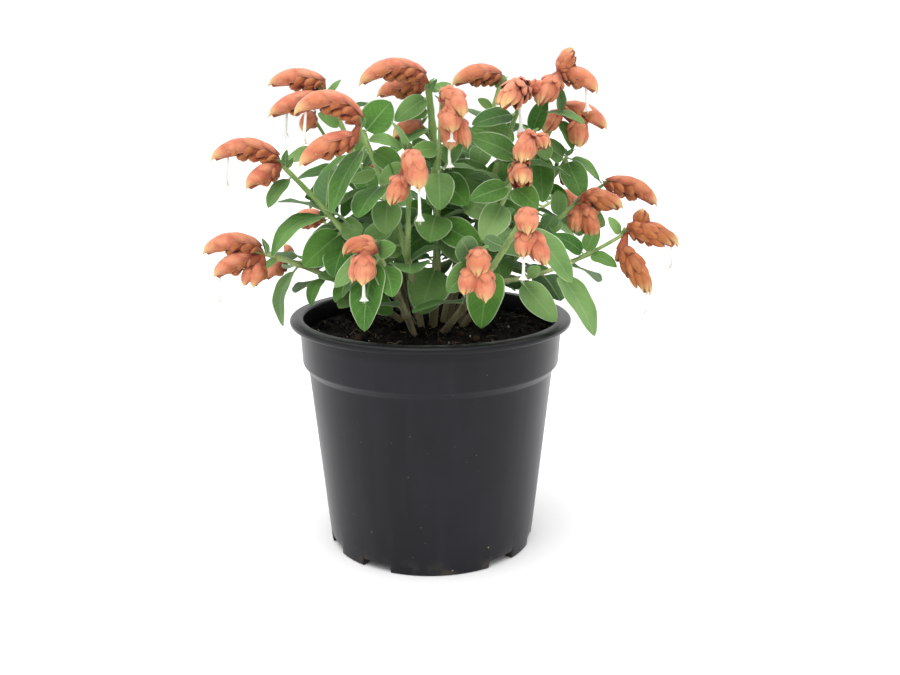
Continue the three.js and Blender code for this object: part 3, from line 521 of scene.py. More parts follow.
STALK_TIP = 0.12
STALK_RINGS = 12


def outline(share, base, tip):
    """Half width of an egg-shaped blade, 1 at its widest."""
    widest = base / (base + tip)
    return (share / widest) ** base * ((1 - share) / (1 - widest)) ** tip


def add_leaf(shape, chance, root, heading, pitch, length, width, roll, arch=ARCH):
    along = direction(heading, pitch)
    face = turned(unit(UP - along * along[2]), along, math.radians(roll))
    side = np.cross(face, along)
    waves = chance.uniform(0, 2 * math.pi, 3)
    sway = chance.uniform(-SWAY, SWAY) * length

    def midrib(share):
        bow = np.sin(math.pi * share)[..., None]
        return root + along * (share * length)[..., None] + (face * arch * length + side * sway) * bow

    rows, columns = SMALL_GRID if length < SMALL_LEAF else LEAF_GRID
    even = np.linspace(0, 1, rows)
    v = CROWDED_ENDS * (1 - np.cos(math.pi * even)) / 2 + (1 - CROWDED_ENDS) * even
    u = np.linspace(1, -1, columns)
    out = np.abs(u)
    half = (width / 2 * outline(v, BLADE_ROUND, BLADE_POINT))[:, None]
    reach = half * u
    along_blade = v[:, None]
    fold = FOLD * (np.sqrt(reach**2 + RIB_WIDTH**2) - RIB_WIDTH)
    quilt = -QUILTING * np.cos(2 * math.pi * VEINS * (along_blade - VEIN_RAKE * out**VEIN_CURVE))
    quilt = quilt * np.sin(math.pi * out) * np.minimum(1, half / 8)
    wave = MARGIN_WAVE * np.sin(2 * math.pi * MARGIN_WAVES * along_blade + waves[0] + waves[1] * (u > 0))
    wave = wave * out**3 * half / 12
    twist = math.radians(TWIST_DEG) * math.sin(waves[2]) * along_blade * reach
    lift = fold + quilt + wave + twist
    stalk = PETIOLE * 0.9
    middle = midrib(stalk + (1 - stalk) * v)[:, None] + side * reach[..., None] + face * lift[..., None]
    thick = BLADE_HALF * np.sqrt(1 - 0.9 * u**2) * np.minimum(1, half / 2)
    place = np.stack(np.broadcast_arrays(u, along_blade, 0.0), axis=-1)
    young = float(np.clip((YOUNG_LEAF[1] - length) / (YOUNG_LEAF[1] - YOUNG_LEAF[0]), 0, 1))
    mood = (young, chance.uniform(), length)
    rise = face * thick[..., None]
    add_sheet(shape, middle + rise, middle - rise, place, mood)

    share = np.linspace(0, STALK_REACH, STALK_RINGS)
    radii = STALK_TIP + (PETIOLE_RADIUS * min(1, length / 30) - STALK_TIP) * (1 - share) ** 1.6
    centres = midrib(share) - face * (BLADE_HALF + 0.3 * radii * smooth(0.05, 0.2, share))[:, None]
    shape.add(*tube(centres, radii, 6), (0, 0.5, 1), mood)


def spike_point(foot, spike, share, turn, radius):
    """A point on a spike, as the part has it: an arc in an upright plane, turned about from its right."""
    heading, rise, droop, length = spike[1:5]
    start, drop = math.radians(rise), math.radians(droop)
    share, turn, radius = np.broadcast_arrays(*(np.asarray(x, float) for x in (share, turn, radius)))
    pitch = start - drop * share
    bend = length / drop
    level, side = direction(heading, 0), direction(heading + 90, 0)
    upward = UP * np.cos(pitch)[..., None] - level * np.sin(pitch)[..., None]
    centre = (
        foot
        + level * (bend * (math.sin(start) - np.sin(pitch)))[..., None]
        + UP * (bend * (np.cos(pitch) - math.cos(start)))[..., None]
    )
    return centre + side * (radius * np.cos(turn))[..., None] + upward * (radius * np.sin(turn))[..., None]


def spike_radius(spike, share):
    length = spike[4]
    fullness = spike[5] if len(spike) > 5 else 1.0
    share = np.clip(share, 0, 1)
    full = SPIKE_RADIUS * fullness * min(1, 0.55 + 0.45 * length / SHORT_SPIKE)
    swell = SPIKE_WAIST + (1 - SPIKE_WAIST) * np.sin(math.pi * share)
    return full * swell * np.sqrt(1 - SPIKE_TAPER * share**3)


# More small leaves, where the others leave room.
EXTRA_SEED = 3
EXTRA_TRIES = 1500
EXTRA_FRONT = -22.0  # none further to the front than this
EXTRA_LENGTH = (18.0, 32.0)
EXTRA_PLACE = (0.3, 0.92)
EXTRA_PITCH = (-50.0, 40.0)
EXTRA_ROLL = (-60.0, 60.0)
EXTRA_CLOSE = 0.8  # how near they come, as a share of the rooms' radii
EXTRA_HEIGHT = (146.0, 238.0)
EXTRA_REACH = 66.0

BALL_PLACES = (0.35, 0.6, 0.85)  # of the balls along a leaf that keep its room
SPIKE_BALLS = (0.1, 0.4, 0.7, 1)


def blade_balls(leaf):
    root, heading, pitch, length, width = leaf[:5]
    along = direction(heading, pitch)
    return [(root + along * share * length, BLADE_ROOM * width) for share in BALL_PLACES]


def is_free(balls, taken, close, gap):
    centres, rooms = (np.array(values) for values in zip(*taken))
    return all(
        np.all(np.linalg.norm(centres - centre, axis=1) > close * (radius + rooms) + gap)
        for centre, radius in balls
    )


def in_crown(point):
    low, high = EXTRA_HEIGHT
    return math.hypot(*point[:2]) < EXTRA_REACH and point[1] > EXTRA_FRONT and low < point[2] < high


def even_draws(state):
    """The part's own random numbers."""
    while True:
        state = (state * 1664525 + 1013904223) % 2**32
        yield state / 2**32


def placed_leaves():
    """The leaves of each shoot by the part's own rule, so that they stand where its leaves stand."""
    taken = []
    for curve in curves.values():
        taken += [(curve.at(step / ROOM_STEPS), SHOOT_ROOM) for step in range(1, ROOM_STEPS + 1)]
    for name, spikes in HEADS.items():
        for spike in spikes:
            foot = curves[name].at(1) + np.array(spike[0])
            taken += [(spike_point(foot, spike, share, 0, 0), SPIKE_ROOM) for share in SPIKE_BALLS]
    leaves = {}
    for name, curve in curves.items():
        leaves[name] = [(curve.at(leaf[0]), *leaf[1:]) for leaf in LEAVES.get(name, [])]
        for leaf in leaves[name]:
            taken += blade_balls(leaf)

    draws = even_draws(FILLING_SEED)
    for name, (number, first, last, middle, spread) in FILLING.items():
        for leaf in range(number):
            for _ in range(FILLING_TRIES):
                at = first + (last - first) * (leaf + next(draws)) / number
                length = between(FILLING_LENGTH, at) + LENGTH_SPREAD * (next(draws) - 0.5)
                heading = middle + spread * (2 * next(draws) - 1)
                pitch = HIGHEST_PITCH - PITCH_SPREAD * next(draws)
                roll = ROLL_SPREAD * (next(draws) - 0.5)
                root = curves[name].at(at)
                tried = (root, heading, pitch, length, FILLING_WIDTH * length, roll)
                balls = blade_balls(tried)
                high = root[2] + length * math.sin(math.radians(pitch)) >= LOWEST_TIP
                if high and is_free(balls, taken, 1, ELBOW_ROOM):
                    leaves[name].append(tried)
                    taken += balls
                    break

    chance = np.random.default_rng(EXTRA_SEED)
    for _ in range(EXTRA_TRIES):
        name = list(curves)[chance.integers(len(curves))]
        length = chance.uniform(*EXTRA_LENGTH)
        root = curves[name].at(chance.uniform(*EXTRA_PLACE))
        pitch = chance.uniform(*EXTRA_PITCH)
        heading, roll = chance.uniform(0, 360), chance.uniform(*EXTRA_ROLL)
        tried = (root, heading, pitch, length, FILLING_WIDTH * length, roll)
        balls = blade_balls(tried)
        if all(in_crown(centre) for centre, _ in balls) and is_free(balls, taken, EXTRA_CLOSE, 0):
            leaves[name].append(tried)
            taken += balls
    return leaves


# ---- Stems ----

STEM_RINGS = 30
STEM_SIDES = 12
STEM_NECK = 0.35  # how much it narrows under its flower head
NODE_SWELL = 0.16  # how much it swells where a leaf leaves it
NODE_LENGTH = 2.2
OLD_HEIGHT = 90.0  # height over the soil at which a stem is fresh and green
HAIR_LENGTH = 1.1
HAIR_RADIUS = 0.055
HAIRS_PER_MM = 6.0


def age_of(height):
    return np.clip((height - SOIL_HEIGHT) / OLD_HEIGHT, 0, 1)


def add_hair(shape, root, ahead, length, place, mood):
    """One stiff hair: a cone of three sides that stands in the surface."""
    side = unit(np.cross(ahead, UP + 0.3 * ahead[::-1]))
    foot = ring(root, HAIR_RADIUS, around(3), side, np.cross(ahead, side))
    points = np.concatenate([foot, (root + ahead * length)[None]])
    shape.add(points, [[0, 2, 1], [0, 1, 3], [1, 2, 3], [2, 0, 3]], place, mood)


def add_shoot(shape, name, leaf_shares, chance):
    """A shoot's round stem, a little swollen where leaves leave it, with short hairs."""
    curve = curves[name]
    is_stem = name in STEMS
    root_radius = STEM_GIRTH.get(name, STEM_ROOT_RADIUS) if is_stem else SHOOT_ROOT_RADIUS
    t = np.linspace(0, 1, STEM_RINGS)
    centres = curve.at(t)
    run = np.concatenate([[0], np.cumsum(np.linalg.norm(np.diff(centres, axis=0), axis=1))])
    share = run / run[-1]
    radii = root_radius * (1 + (STEM_TAPER - 1) * share) * (1 - STEM_NECK * smooth(0.93, 1.0, share))
    for at in leaf_shares:
        radii = radii * (1 + NODE_SWELL * np.exp(-(((t - at) * run[-1] / NODE_LENGTH) ** 2)))
    if is_stem:
        below = curve.at(0) - curve.tangent(0) * STEM_DEPTH
        centres = np.concatenate([below[None], centres])
        radii = np.concatenate([radii[:1] * 1.15, radii])
    ages = age_of(centres[:, 2])
    ages = by_ring(ages[[0, -1]], ages, STEM_SIDES)
    mood = (0, chance.uniform(), 0)
    place = np.stack([0 * ages, ages, 0 * ages], axis=-1)
    shape.add(*tube(centres, radii, STEM_SIDES), place, mood)
    for _ in range(int(run[-1] * HAIRS_PER_MM)):
        at = chance.uniform(0.12, 1)
        i = min(int(at * (STEM_RINGS - 1)), STEM_RINGS - 2)
        axis = curve.tangent(at)
        side = unit(np.cross(axis, direction(chance.uniform(0, 360), chance.uniform(-80, 80))))
        root = curve.at(at) + side * radii[i + is_stem] * 0.93
        ahead = unit(side + axis * chance.uniform(-0.3, 0.3))
        length = HAIR_LENGTH * chance.uniform(0.6, 1.2)
        add_hair(shape, root, ahead, length, (0, float(age_of(root[2])), 1), mood)


# ---- Flower heads ----

# Rows of bracts on a spike, each bract from its root to its tip. turn: where it lies round the spike, at its
# root and at its tip. wrap: half of the angle it takes, at the spike's foot and at its end. ahead: the step
# from the row before, in bracts. span: how far along the spike its bracts reach. bulge: how fat they are, in
# mm. flush: how near its root lies to the surface. blunt: less is rounder. cream: how pale its tips are.
# How far a row's bracts take the darker brick colour grows from the roof down to the keel: partly the
# bracts' own darker tone, partly painted shade on a spike's lower side.
ROOF = {
    "turn": (90, 90), "wrap": (54, 122), "reach": 0.98, "pitch": 9.0, "ahead": 0.0, "span": 1.03,
    "length": (15.0, 20.0), "bulge": 0.3, "flush": 0.88, "blunt": 0.34, "brick_and_shade": 0.0, "cream": 1.0,
    "grid": (11, 11),
}
FLANK = {
    "turn": (46, -24), "wrap": (40, 40), "reach": 0.84, "pitch": 6.6, "ahead": 0.45, "span": 0.7,
    "length": (9.0, 11.0), "bulge": 1.0, "flush": 0.5, "blunt": 0.42, "brick_and_shade": 0.8, "cream": 0.15,
    "grid": (8, 7),
}
BELLY = {
    **FLANK, "turn": (-26, -62), "wrap": (30, 30), "ahead": 0.95, "span": 0.62, "reach": 0.86, "brick_and_shade": 1.0,
}
KEEL = {
    **FLANK, "turn": (-90, -90), "wrap": (34, 34), "ahead": 0.2, "span": 0.58, "reach": 0.84, "brick_and_shade": 1.0,
}
# The rows of the heads that face the front, whose bracts stand more open and are less regular.
OPEN_ROOF = {
    **ROOF, "wrap": (48, 60), "reach": 0.84, "length": (13.0, 18.0), "bulge": 0.6, "flush": 0.66,
    "blunt": 0.78, "grid": (11, 9),
}
OPEN_SHOULDER = {**OPEN_ROOF, "turn": (58, 40), "wrap": (38, 46), "ahead": 0.45, "span": 0.96, "brick_and_shade": 0.1}
OPEN_FLANK = {**OPEN_SHOULDER, "turn": (20, 0), "ahead": 0.1, "span": 0.9, "reach": 0.8, "brick_and_shade": 0.4}
OPEN_BELLY = {**OPEN_FLANK, "turn": (-20, -44), "ahead": 0.6, "span": 0.82, "brick_and_shade": 0.7}
UNEVEN_TURN = 13.0  # how far one of these bracts may lie to either side of its row
CRUMPLE = 0.7
RIDGE = 0.9  # how far the middle of one of them stands up
BRACT_HALF = 0.14  # half its thickness
BRACT_TUCK = 0.9  # how far its edges turn in
BRACT_SAG = 0.14  # how far the bracts hang below the spike's own line, as a share of its radius
BRACT_ROUND = 0.45
BRACT_RIPPLE = 0.1
BRACT_KEEL = 0.25  # height of the fine ridge along a bract
LEAST_RADIUS = 0.25
LEAST_BRACT = 3.0
END_SHUT = 0.75  # how far the spike's last bracts close over its end
FARTHEST_ROOT = -0.03  # a bract's root lies no further before the spike's foot than this share
LAST_POINT = 0.62  # how pointed the last bract of a row is
CORE_SHARE = 0.68  # radius of the spike's solid core, as a share
NECK_RADIUS = 1.3
OPEN_HEADS = "qfnopmjilksh"
LEVEL_SPIKES = "ij"  # heads whose level spike is closed all the same
LEVEL_DEG = 20.0
LEVEL_SIDE_DEG = 26.0
OPENING = 0.9
WIDE_OPEN = {"h": 2.6, "k": 2.4, "s": 1.7}
DULL_HEADS = {
    "l": 0.45, "m": 0.8, "y": 0.5, "k": 0.3, "s": 0.1, "j": 0.15, "z": 0.3, "v": 0.3, "a": 0.12, "b": 0.1,
}


def mirrored(row):
    return {**row, "turn": tuple(180 - turn for turn in row["turn"])}


CLOSED_ROWS = (KEEL, BELLY, mirrored(BELLY), FLANK, mirrored(FLANK), ROOF)
OPEN_ROWS = (
    KEEL, OPEN_BELLY, mirrored(OPEN_BELLY), OPEN_FLANK, mirrored(OPEN_FLANK),
    OPEN_SHOULDER, mirrored(OPEN_SHOULDER), OPEN_ROOF,
)


def sagged(foot, spike, share, angle, radius):
    over, up = radius * np.cos(angle), radius * np.sin(angle) - BRACT_SAG * spike_radius(spike, share)
    return spike_point(foot, spike, share, np.arctan2(up, over), np.hypot(over, up))


def add_bract(shape, foot, spike, shares, row, opening, mood, chance):
    rows, columns = row["grid"]
    v = np.linspace(0, 1, rows)[:, None]
    u = np.linspace(-1, 1, columns)[None]
    share = between(shares, v)
    loose = min(1.0, opening)
    middle = between(row["turn"], v) + UNEVEN_TURN * loose * chance.uniform(-1, 1)
    wrap = between(row["wrap"], smooth(0.3, 1.0, shares[1])) * chance.uniform(0.95, 1.05)
    point = LAST_POINT if shares[1] > 0.98 else row["blunt"]
    angle = np.radians(middle + u * wrap * outline(v, BRACT_ROUND, point))
    scaled = spike_radius(spike, share)
    bow = np.sin(math.pi * v)
    radius = scaled * row["reach"] * between((row["flush"], 1), smooth(0, 0.75, v))
    radius = radius * (1 - END_SHUT * smooth(0.9, 1.04, share))
    fat = row["bulge"] * np.sqrt(np.sin(math.pi * (0.06 + 0.92 * v))) * np.minimum(1, scaled / 5)
    radius = radius + fat * np.cos(u * math.pi / 2) ** 0.8 - BRACT_TUCK * row["bulge"] * np.abs(u) ** 4
    radius = radius + opening * v**3 + BRACT_KEEL * (1 - np.abs(u)) ** 3 * bow
    waves = chance.uniform(0, 2 * math.pi, 3)
    radius = radius + BRACT_RIPPLE * np.sin(u * 8 + waves[0]) * v
    radius = radius + CRUMPLE * loose * np.sin(3.2 * u + waves[1]) * np.sin(5 * v + waves[2]) * v
    radius = np.maximum(radius + RIDGE * loose * (1 - np.abs(u)) * bow, LEAST_RADIUS)
    thick = BRACT_HALF * np.sqrt(1 - 0.8 * u**2) * np.minimum(1, 4 * (1 - v) + 0.3)
    outer, inner = (sagged(foot, spike, share, angle, radius + side) for side in (thick, -thick))
    place = np.stack(np.broadcast_arrays(u, v, share), axis=-1)
    add_sheet(shape, outer, inner, place, mood)


def add_spike(shape, start, foot, spike, rows, opening, brick_and_shade, chance):
    length = spike[4]
    shares = np.linspace(0.02, 0.93, 14)
    centres = np.concatenate([start[None], spike_point(foot, spike, shares, 0, 0)])
    radii = np.concatenate([[NECK_RADIUS], CORE_SHARE * spike_radius(spike, shares)])
    shape.add(*tube(centres, radii, 10), (0, 0.3, 0), (0.7, 0.5, 0))
    for row in rows:
        number = max(2, round(length * row["span"] / row["pitch"]))
        for k in range(number):
            tip = (k + 1 - row["ahead"]) / (number - row["ahead"]) * row["span"]
            root = max(tip - between(row["length"], tip) / length, FARTHEST_ROOT)
            if tip - root < LEAST_BRACT / length:
                continue
            mood = (min(1, row["brick_and_shade"] + brick_and_shade), chance.uniform(), row["cream"])
            looser = opening * chance.uniform(0.5, 1.3)
            add_bract(shape, foot, spike, (root, tip), row, looser, mood, chance)


COROLLA_RADIUS = 0.9
COROLLA_LIP = 2.7
COROLLA_SIDES = 15
COROLLA_SAG = 1.5
LIP_LOBES = 5
# Along a corolla, and how far it has opened there. It ends in a funnel down to the sixth place.
COROLLA_SHARES = (0, 0.15, 0.3, 0.45, 0.6, 0.74, 0.84, 0.91, 0.96, 0.99, 0.985)
COROLLA_FLARE = (0, 0, 0, 0, 0.02, 0.05, 0.12, 0.26, 0.5, 0.8, 1.0)
COROLLA_THROAT = 5
STAMEN_RADII = (0.12, 0.12, 0.12, 0.12, 0.22, 0.16)


def add_corolla(shape, root, length, heading, pitch, chance):
    """A narrow tube that opens into five lobes, with two stamens."""
    along, across = direction(heading, pitch), direction(heading + 90, 0)
    sag = across * chance.uniform(-COROLLA_SAG, COROLLA_SAG)
    share, flare = np.array(COROLLA_SHARES), np.array(COROLLA_FLARE)[:, None]
    centres = root + along * (share * length)[:, None] + sag * (np.sin(math.pi * share) * 0.5)[:, None]
    lobes = 0.7 + 0.3 * np.cos(LIP_LOBES * around(COROLLA_SIDES))
    radii = COROLLA_RADIUS * (0.7 + 0.3 * share[:, None]) + flare * (COROLLA_LIP - COROLLA_RADIUS) * lobes
    points, faces = tube(centres, radii, COROLLA_SIDES)
    points[-1] = centres[COROLLA_THROAT]
    depth = by_ring([0, 1], share, COROLLA_SIDES)
    shape.add(points, faces, np.stack([depth * 0, depth, depth * 0], axis=-1), (0, chance.uniform(), 0))
    for offset in (-0.5, 0.5):
        reach = np.linspace(0.6, 1.08, len(STAMEN_RADII))
        thread = root + along * (reach * length)[:, None] + across * offset
        anther = by_ring([0, 1], 1.0 * (reach > 1.02), 5)
        place = np.stack([anther * 0, anther * 0, anther], axis=-1)
        shape.add(*tube(thread, STAMEN_RADII, 5), place, (0, 0.5, 0))


# ---- Pot and soil ----

POT_COLUMNS = 144
NOTCH_EDGE_DEG = 0.3
SQUEEZE_HEIGHT = 8.0  # the wall's rows below this are squeezed up over a notch
WALL_ROWS = (2, 4, 6, SQUEEZE_HEIGHT, 20, 40, 60, 80, 100)
RING_LEDGE = 2.3  # the floor's underside has a narrow ledge of its own along the foot ring
CORNER_STEPS = 5
DRAIN_SIDES = 24


def wall_radius(height):
    return FOOT_RADIUS + WALL_SLOPE * height


def rounded(corners):
    """A profile of radius and height with its corners rounded off by the third number of each."""
    profile = []
    for i, (radius, height, rounding) in enumerate(corners):
        corner = np.array([radius, height])
        if not rounding:
            profile.append(corner)
            continue
        before = corner + unit(np.array(corners[i - 1][:2]) - corner) * rounding
        after = corner + unit(np.array(corners[i + 1][:2]) - corner) * rounding
        for s in np.linspace(0, 1, CORNER_STEPS):
            profile.append((1 - s) ** 2 * before + 2 * s * (1 - s) * corner + s**2 * after)
    return np.array(profile)


def level_ring(radius, turn, height):
    """Points round the pot's axis, at one height or at one for each turn."""
    return np.stack(np.broadcast_arrays(radius * np.cos(turn), radius * np.sin(turn), height), axis=-1)


def apart(columns, middle):
    """How many degrees lie between columns and middle."""
    return np.abs((columns - middle + 180) % 360 - 180)


def pot_shape():
    shoulder = COLLAR_HEIGHT - STEP_HEIGHT
    collar = wall_radius(COLLAR_HEIGHT) + COLLAR_STEP
    bead = MOUTH_HEIGHT - BEAD_DEPTH
    ring_inside = FOOT_RADIUS - FOOT_RING
    ledge = ring_inside - RING_LEDGE
    profile = rounded([
        (0, 0, 0), (PAD_RADIUS, 0, 0.4), (PAD_RADIUS + 1, FLOOR_UNDERSIDE, 0.5),
        (ledge, FLOOR_UNDERSIDE, 0), (ledge + 0.3, FLOOR_UNDERSIDE, 0), (ledge + 1.3, FLOOR_UNDERSIDE, 0),
        (ring_inside, 0, 0.3), (FOOT_RADIUS, 0, 0.7),
        *((wall_radius(height), height, 0) for height in WALL_ROWS),
        (wall_radius(shoulder), shoulder, 0.8), (collar, COLLAR_HEIGHT, 0.9),
        (collar + COLLAR_LEAN / 2, (COLLAR_HEIGHT + bead) / 2, 0), (collar + COLLAR_LEAN, bead, 0.7),
        (RIM_RADIUS - 0.9, bead + 0.3, 0.9), (RIM_RADIUS, bead + 2.3, 1.1),
        (RIM_RADIUS - 0.9, MOUTH_HEIGHT + 0.5, 1.6), (MOUTH_RADIUS, MOUTH_HEIGHT + 0.4, 1.4),
        (MOUTH_RADIUS - 0.3, SOIL_HEIGHT, 0), (collar - WALL, COLLAR_HEIGHT - 1, 1),
        (wall_radius(shoulder) - WALL, shoulder - 1, 1), (wall_radius(FLOOR_TOP) - WALL, FLOOR_TOP, 1.5),
        (0, FLOOR_TOP, 0),
    ])
    half = math.degrees(math.asin(NOTCH_WIDTH / 2 / FOOT_RADIUS))
    places = [place for place in range(NOTCH_PLACES) if place not in NOTCHES_LEFT_OUT]
    middles = [NOTCH_FRONT_DEG + 360 * place / NOTCH_PLACES for place in places]
    columns = np.arange(POT_COLUMNS) * 360 / POT_COLUMNS
    for middle in middles:
        for edge in (middle - half, middle + half):
            sides = [(edge - NOTCH_EDGE_DEG / 2) % 360, (edge + NOTCH_EDGE_DEG / 2) % 360]
            columns = np.append(columns[apart(columns, edge) > 2 * NOTCH_EDGE_DEG], sides)
    columns = np.sort(columns)
    lift = NOTCH_HEIGHT * (np.min([apart(columns, middle) for middle in middles], axis=0) < half)
    turn = np.radians(columns)
    rings = []
    under = sum(height <= FLOOR_UNDERSIDE and radius <= ledge + 0.1 for radius, height in profile)
    seen_wall = False
    for i, (radius, height) in enumerate(profile[1:-1], 1):
        seen_wall = seen_wall or height >= SQUEEZE_HEIGHT
        heights = height
        if i >= under and not seen_wall:
            squeezed = lift + height * (SQUEEZE_HEIGHT - lift) / SQUEEZE_HEIGHT
            heights = np.maximum(height, lift) if radius < ring_inside else squeezed
        rings.append(level_ring(radius, turn, heights))
    points = np.concatenate([[[0, 0, profile[0][1]]], *rings, [[0, 0, profile[-1][1]]]])
    shape = Shape()
    shape.add(points, tube_faces(len(rings), len(columns)))
    return shape


def drill(pot):
    """Cuts the drain holes into the pot's floor."""
    cutter = Shape()
    for turn in around(DRAINS):
        place = np.array([math.cos(turn), math.sin(turn), 0]) * DRAIN_CIRCLE
        centres = [place + UP * height for height in (-1.0, FLOOR_TOP + 1.0)]
        cutter.add(*tube(centres, [DRAIN_RADIUS] * 2, DRAIN_SIDES, np.array([1.0, 0, 0])))
    tool = added("drains", cutter.mesh("drains"))
    cut = pot.modifiers.new("drains", "BOOLEAN")
    cut.object = tool
    cut.solver = "EXACT"
    cut.operation = "DIFFERENCE"
    whole = pot.evaluated_get(bpy.context.evaluated_depsgraph_get())
    pot.data = bpy.data.meshes.new_from_object(whole)
    pot.modifiers.clear()
    bpy.data.objects.remove(tool)


SOIL_COLUMNS = 150
SOIL_SURFACE_RINGS = 56
SOIL_ROUGHNESS = 1.6
CRUMB_REACH = 74.0  # how far from the pot's axis crumbs and fibres lie
FIBRE_REACH = 72.0
FIBRE_STEPS = 6
FIBRE_BEND_DEG = 35.0
KNOBS = 0.35  # relief of a crumb, as a share of its size


def soil_height(x, y):
    """The soil's surface: a low mound with broad lumps and crumbs."""
    radius = math.hypot(x, y)
    base = SOIL_HEIGHT + float(np.interp(radius, *zip(*SOIL_RINGS)))
    broad = SOIL_LUMP * math.sin(0.31 * x + 0.4) * math.cos(0.27 * y - 0.8) * (radius < 70)
    fine = SOIL_ROUGHNESS * noise.fractal(Vector((x, y, 3.0)) * 0.16, 0.7, 2.1, 5)
    return base + (broad + fine) * smooth(76, 66, radius) + 0.5 * fine


def soil_shape():
    shape = Shape()
    turn = around(SOIL_COLUMNS)
    edge = MOUTH_RADIUS - 1.0
    shoulder = COLLAR_HEIGHT - STEP_HEIGHT
    rings = [
        level_ring(wall_radius(FLOOR_TOP) - WALL - 2 * GAP, turn, FLOOR_TOP + GAP),
        level_ring(wall_radius(shoulder) - WALL - 2 * GAP, turn, shoulder - 1),
        level_ring(edge, turn, SOIL_HEIGHT - 3),
    ]
    for radius in np.linspace(edge, 0.8, SOIL_SURFACE_RINGS):
        spots = [(radius * math.cos(a), radius * math.sin(a)) for a in turn]
        rings.append(np.array([(x, y, soil_height(x, y)) for x, y in spots]))
    points = np.concatenate([[[0, 0, FLOOR_TOP + GAP]], *rings, [[0, 0, soil_height(0, 0)]]])
    shape.add(points, tube_faces(len(rings), SOIL_COLUMNS))
    return shape


def ball(level):
    """Points and faces of a ball of triangles."""
    mesh = bmesh.new()
    bmesh.ops.create_icosphere(mesh, subdivisions=level, radius=1)
    mesh.verts.ensure_lookup_table()
    points = np.array([v.co[:] for v in mesh.verts])
    faces = [[v.index for v in face.verts] for face in mesh.faces]
    mesh.free()
    return points, faces


def any_spot(reach, chance):
    radius = reach * math.sqrt(chance.uniform())
    turn = chance.uniform(0, 2 * math.pi)
    return radius * math.cos(turn), radius * math.sin(turn)


def crumbs(chance, *kinds, rise=0.3):
    """Knobbly balls in the soil's surface. Each kind has a number, a range of sizes and a fineness."""
    shape = Shape()
    for number, sizes, level in kinds:
        round_points, faces = ball(level)
        for _ in range(number):
            x, y = any_spot(CRUMB_REACH, chance)
            size = between(sizes, chance.uniform() ** 2.5)
            stretch = chance.uniform(0.6, 1.25, 3)
            relief = [noise.noise(Vector(p) * 1.7 + Vector((x, y, 0))) for p in round_points]
            points = round_points * (1 + KNOBS * np.array(relief))[:, None] * stretch * size
            angle = chance.uniform(0, 2 * math.pi)
            c, s = math.cos(angle), math.sin(angle)
            points = points @ np.array([[c, s, 0], [-s, c, 0], [0, 0, 1]])
            points = points + np.array([x, y, soil_height(x, y) + size * rise])
            shape.add(points, faces, (0, 0, 0), (chance.uniform(), chance.uniform(), 0))
    return shape


def fibres(chance, number):
    """Thin bent strands of peat and bark that lie on the surface."""
    shape = Shape()
    for _ in range(number):
        spot = np.array(any_spot(FIBRE_REACH, chance))
        heading = chance.uniform(0, 360)
        step = chance.uniform(0.8, 2.2)
        spots = []
        for _ in range(FIBRE_STEPS):
            x, y = spot
            if math.hypot(x, y) > CRUMB_REACH:
                break
            spots.append((x, y, soil_height(x, y) + 0.35 + chance.uniform(0, 0.6)))
            heading += chance.uniform(-FIBRE_BEND_DEG, FIBRE_BEND_DEG)
            spot = spot + direction(heading, 0)[:2] * step
        if len(spots) < 3:
            continue
        thick = chance.uniform(0.09, 0.28)
        shape.add(*tube(spots, np.full(len(spots), thick), 4), (0, 0, 0), (chance.uniform(), 0, 0))
    return shape


# ---- Materials ----

# How fine each pattern is, in waves or cells to a metre.
LEAF_MOTTLING, LEAF_GRAIN, LEAF_NET = 28, 420, 700
STEM_STREAKS = 90
BRACT_MOTTLING, BRACT_NET = 160, 900
BRACT_RIBS = 4.5  # about as many on either side of its middle
PETAL_SPOTS = 1100
POT_CLOUDS, POT_SMEARS, POT_STREAKS, POT_SPECKS, POT_DUST, POT_GRAIN = 14, 70, 120, 160, 300, 2600
PEAT_DAMP, PEAT_GRAIN, PEAT_CRUMBS = 60, 700, 900
# Painted shade: above these heights the pot's rim is painted darker than its wall, though both are the same
# plastic.
RIM_SHADE = (0.131, 0.134)  # heights in m between which the pot's wall ends and its rim begins
LEAF_LIGHT = 0.28  # how much of the light goes through
BRACT_LIGHT = 0.16
PETAL_LIGHT = 0.25
WHITE = (1, 1, 1, 1)


def linear(value):
    """The light in a colour's channel that a screen shows as value, from 0 to 255."""
    return ((value / 255 + 0.055) / 1.055) ** 2.4 if value > 10 else value / 255 / 12.92


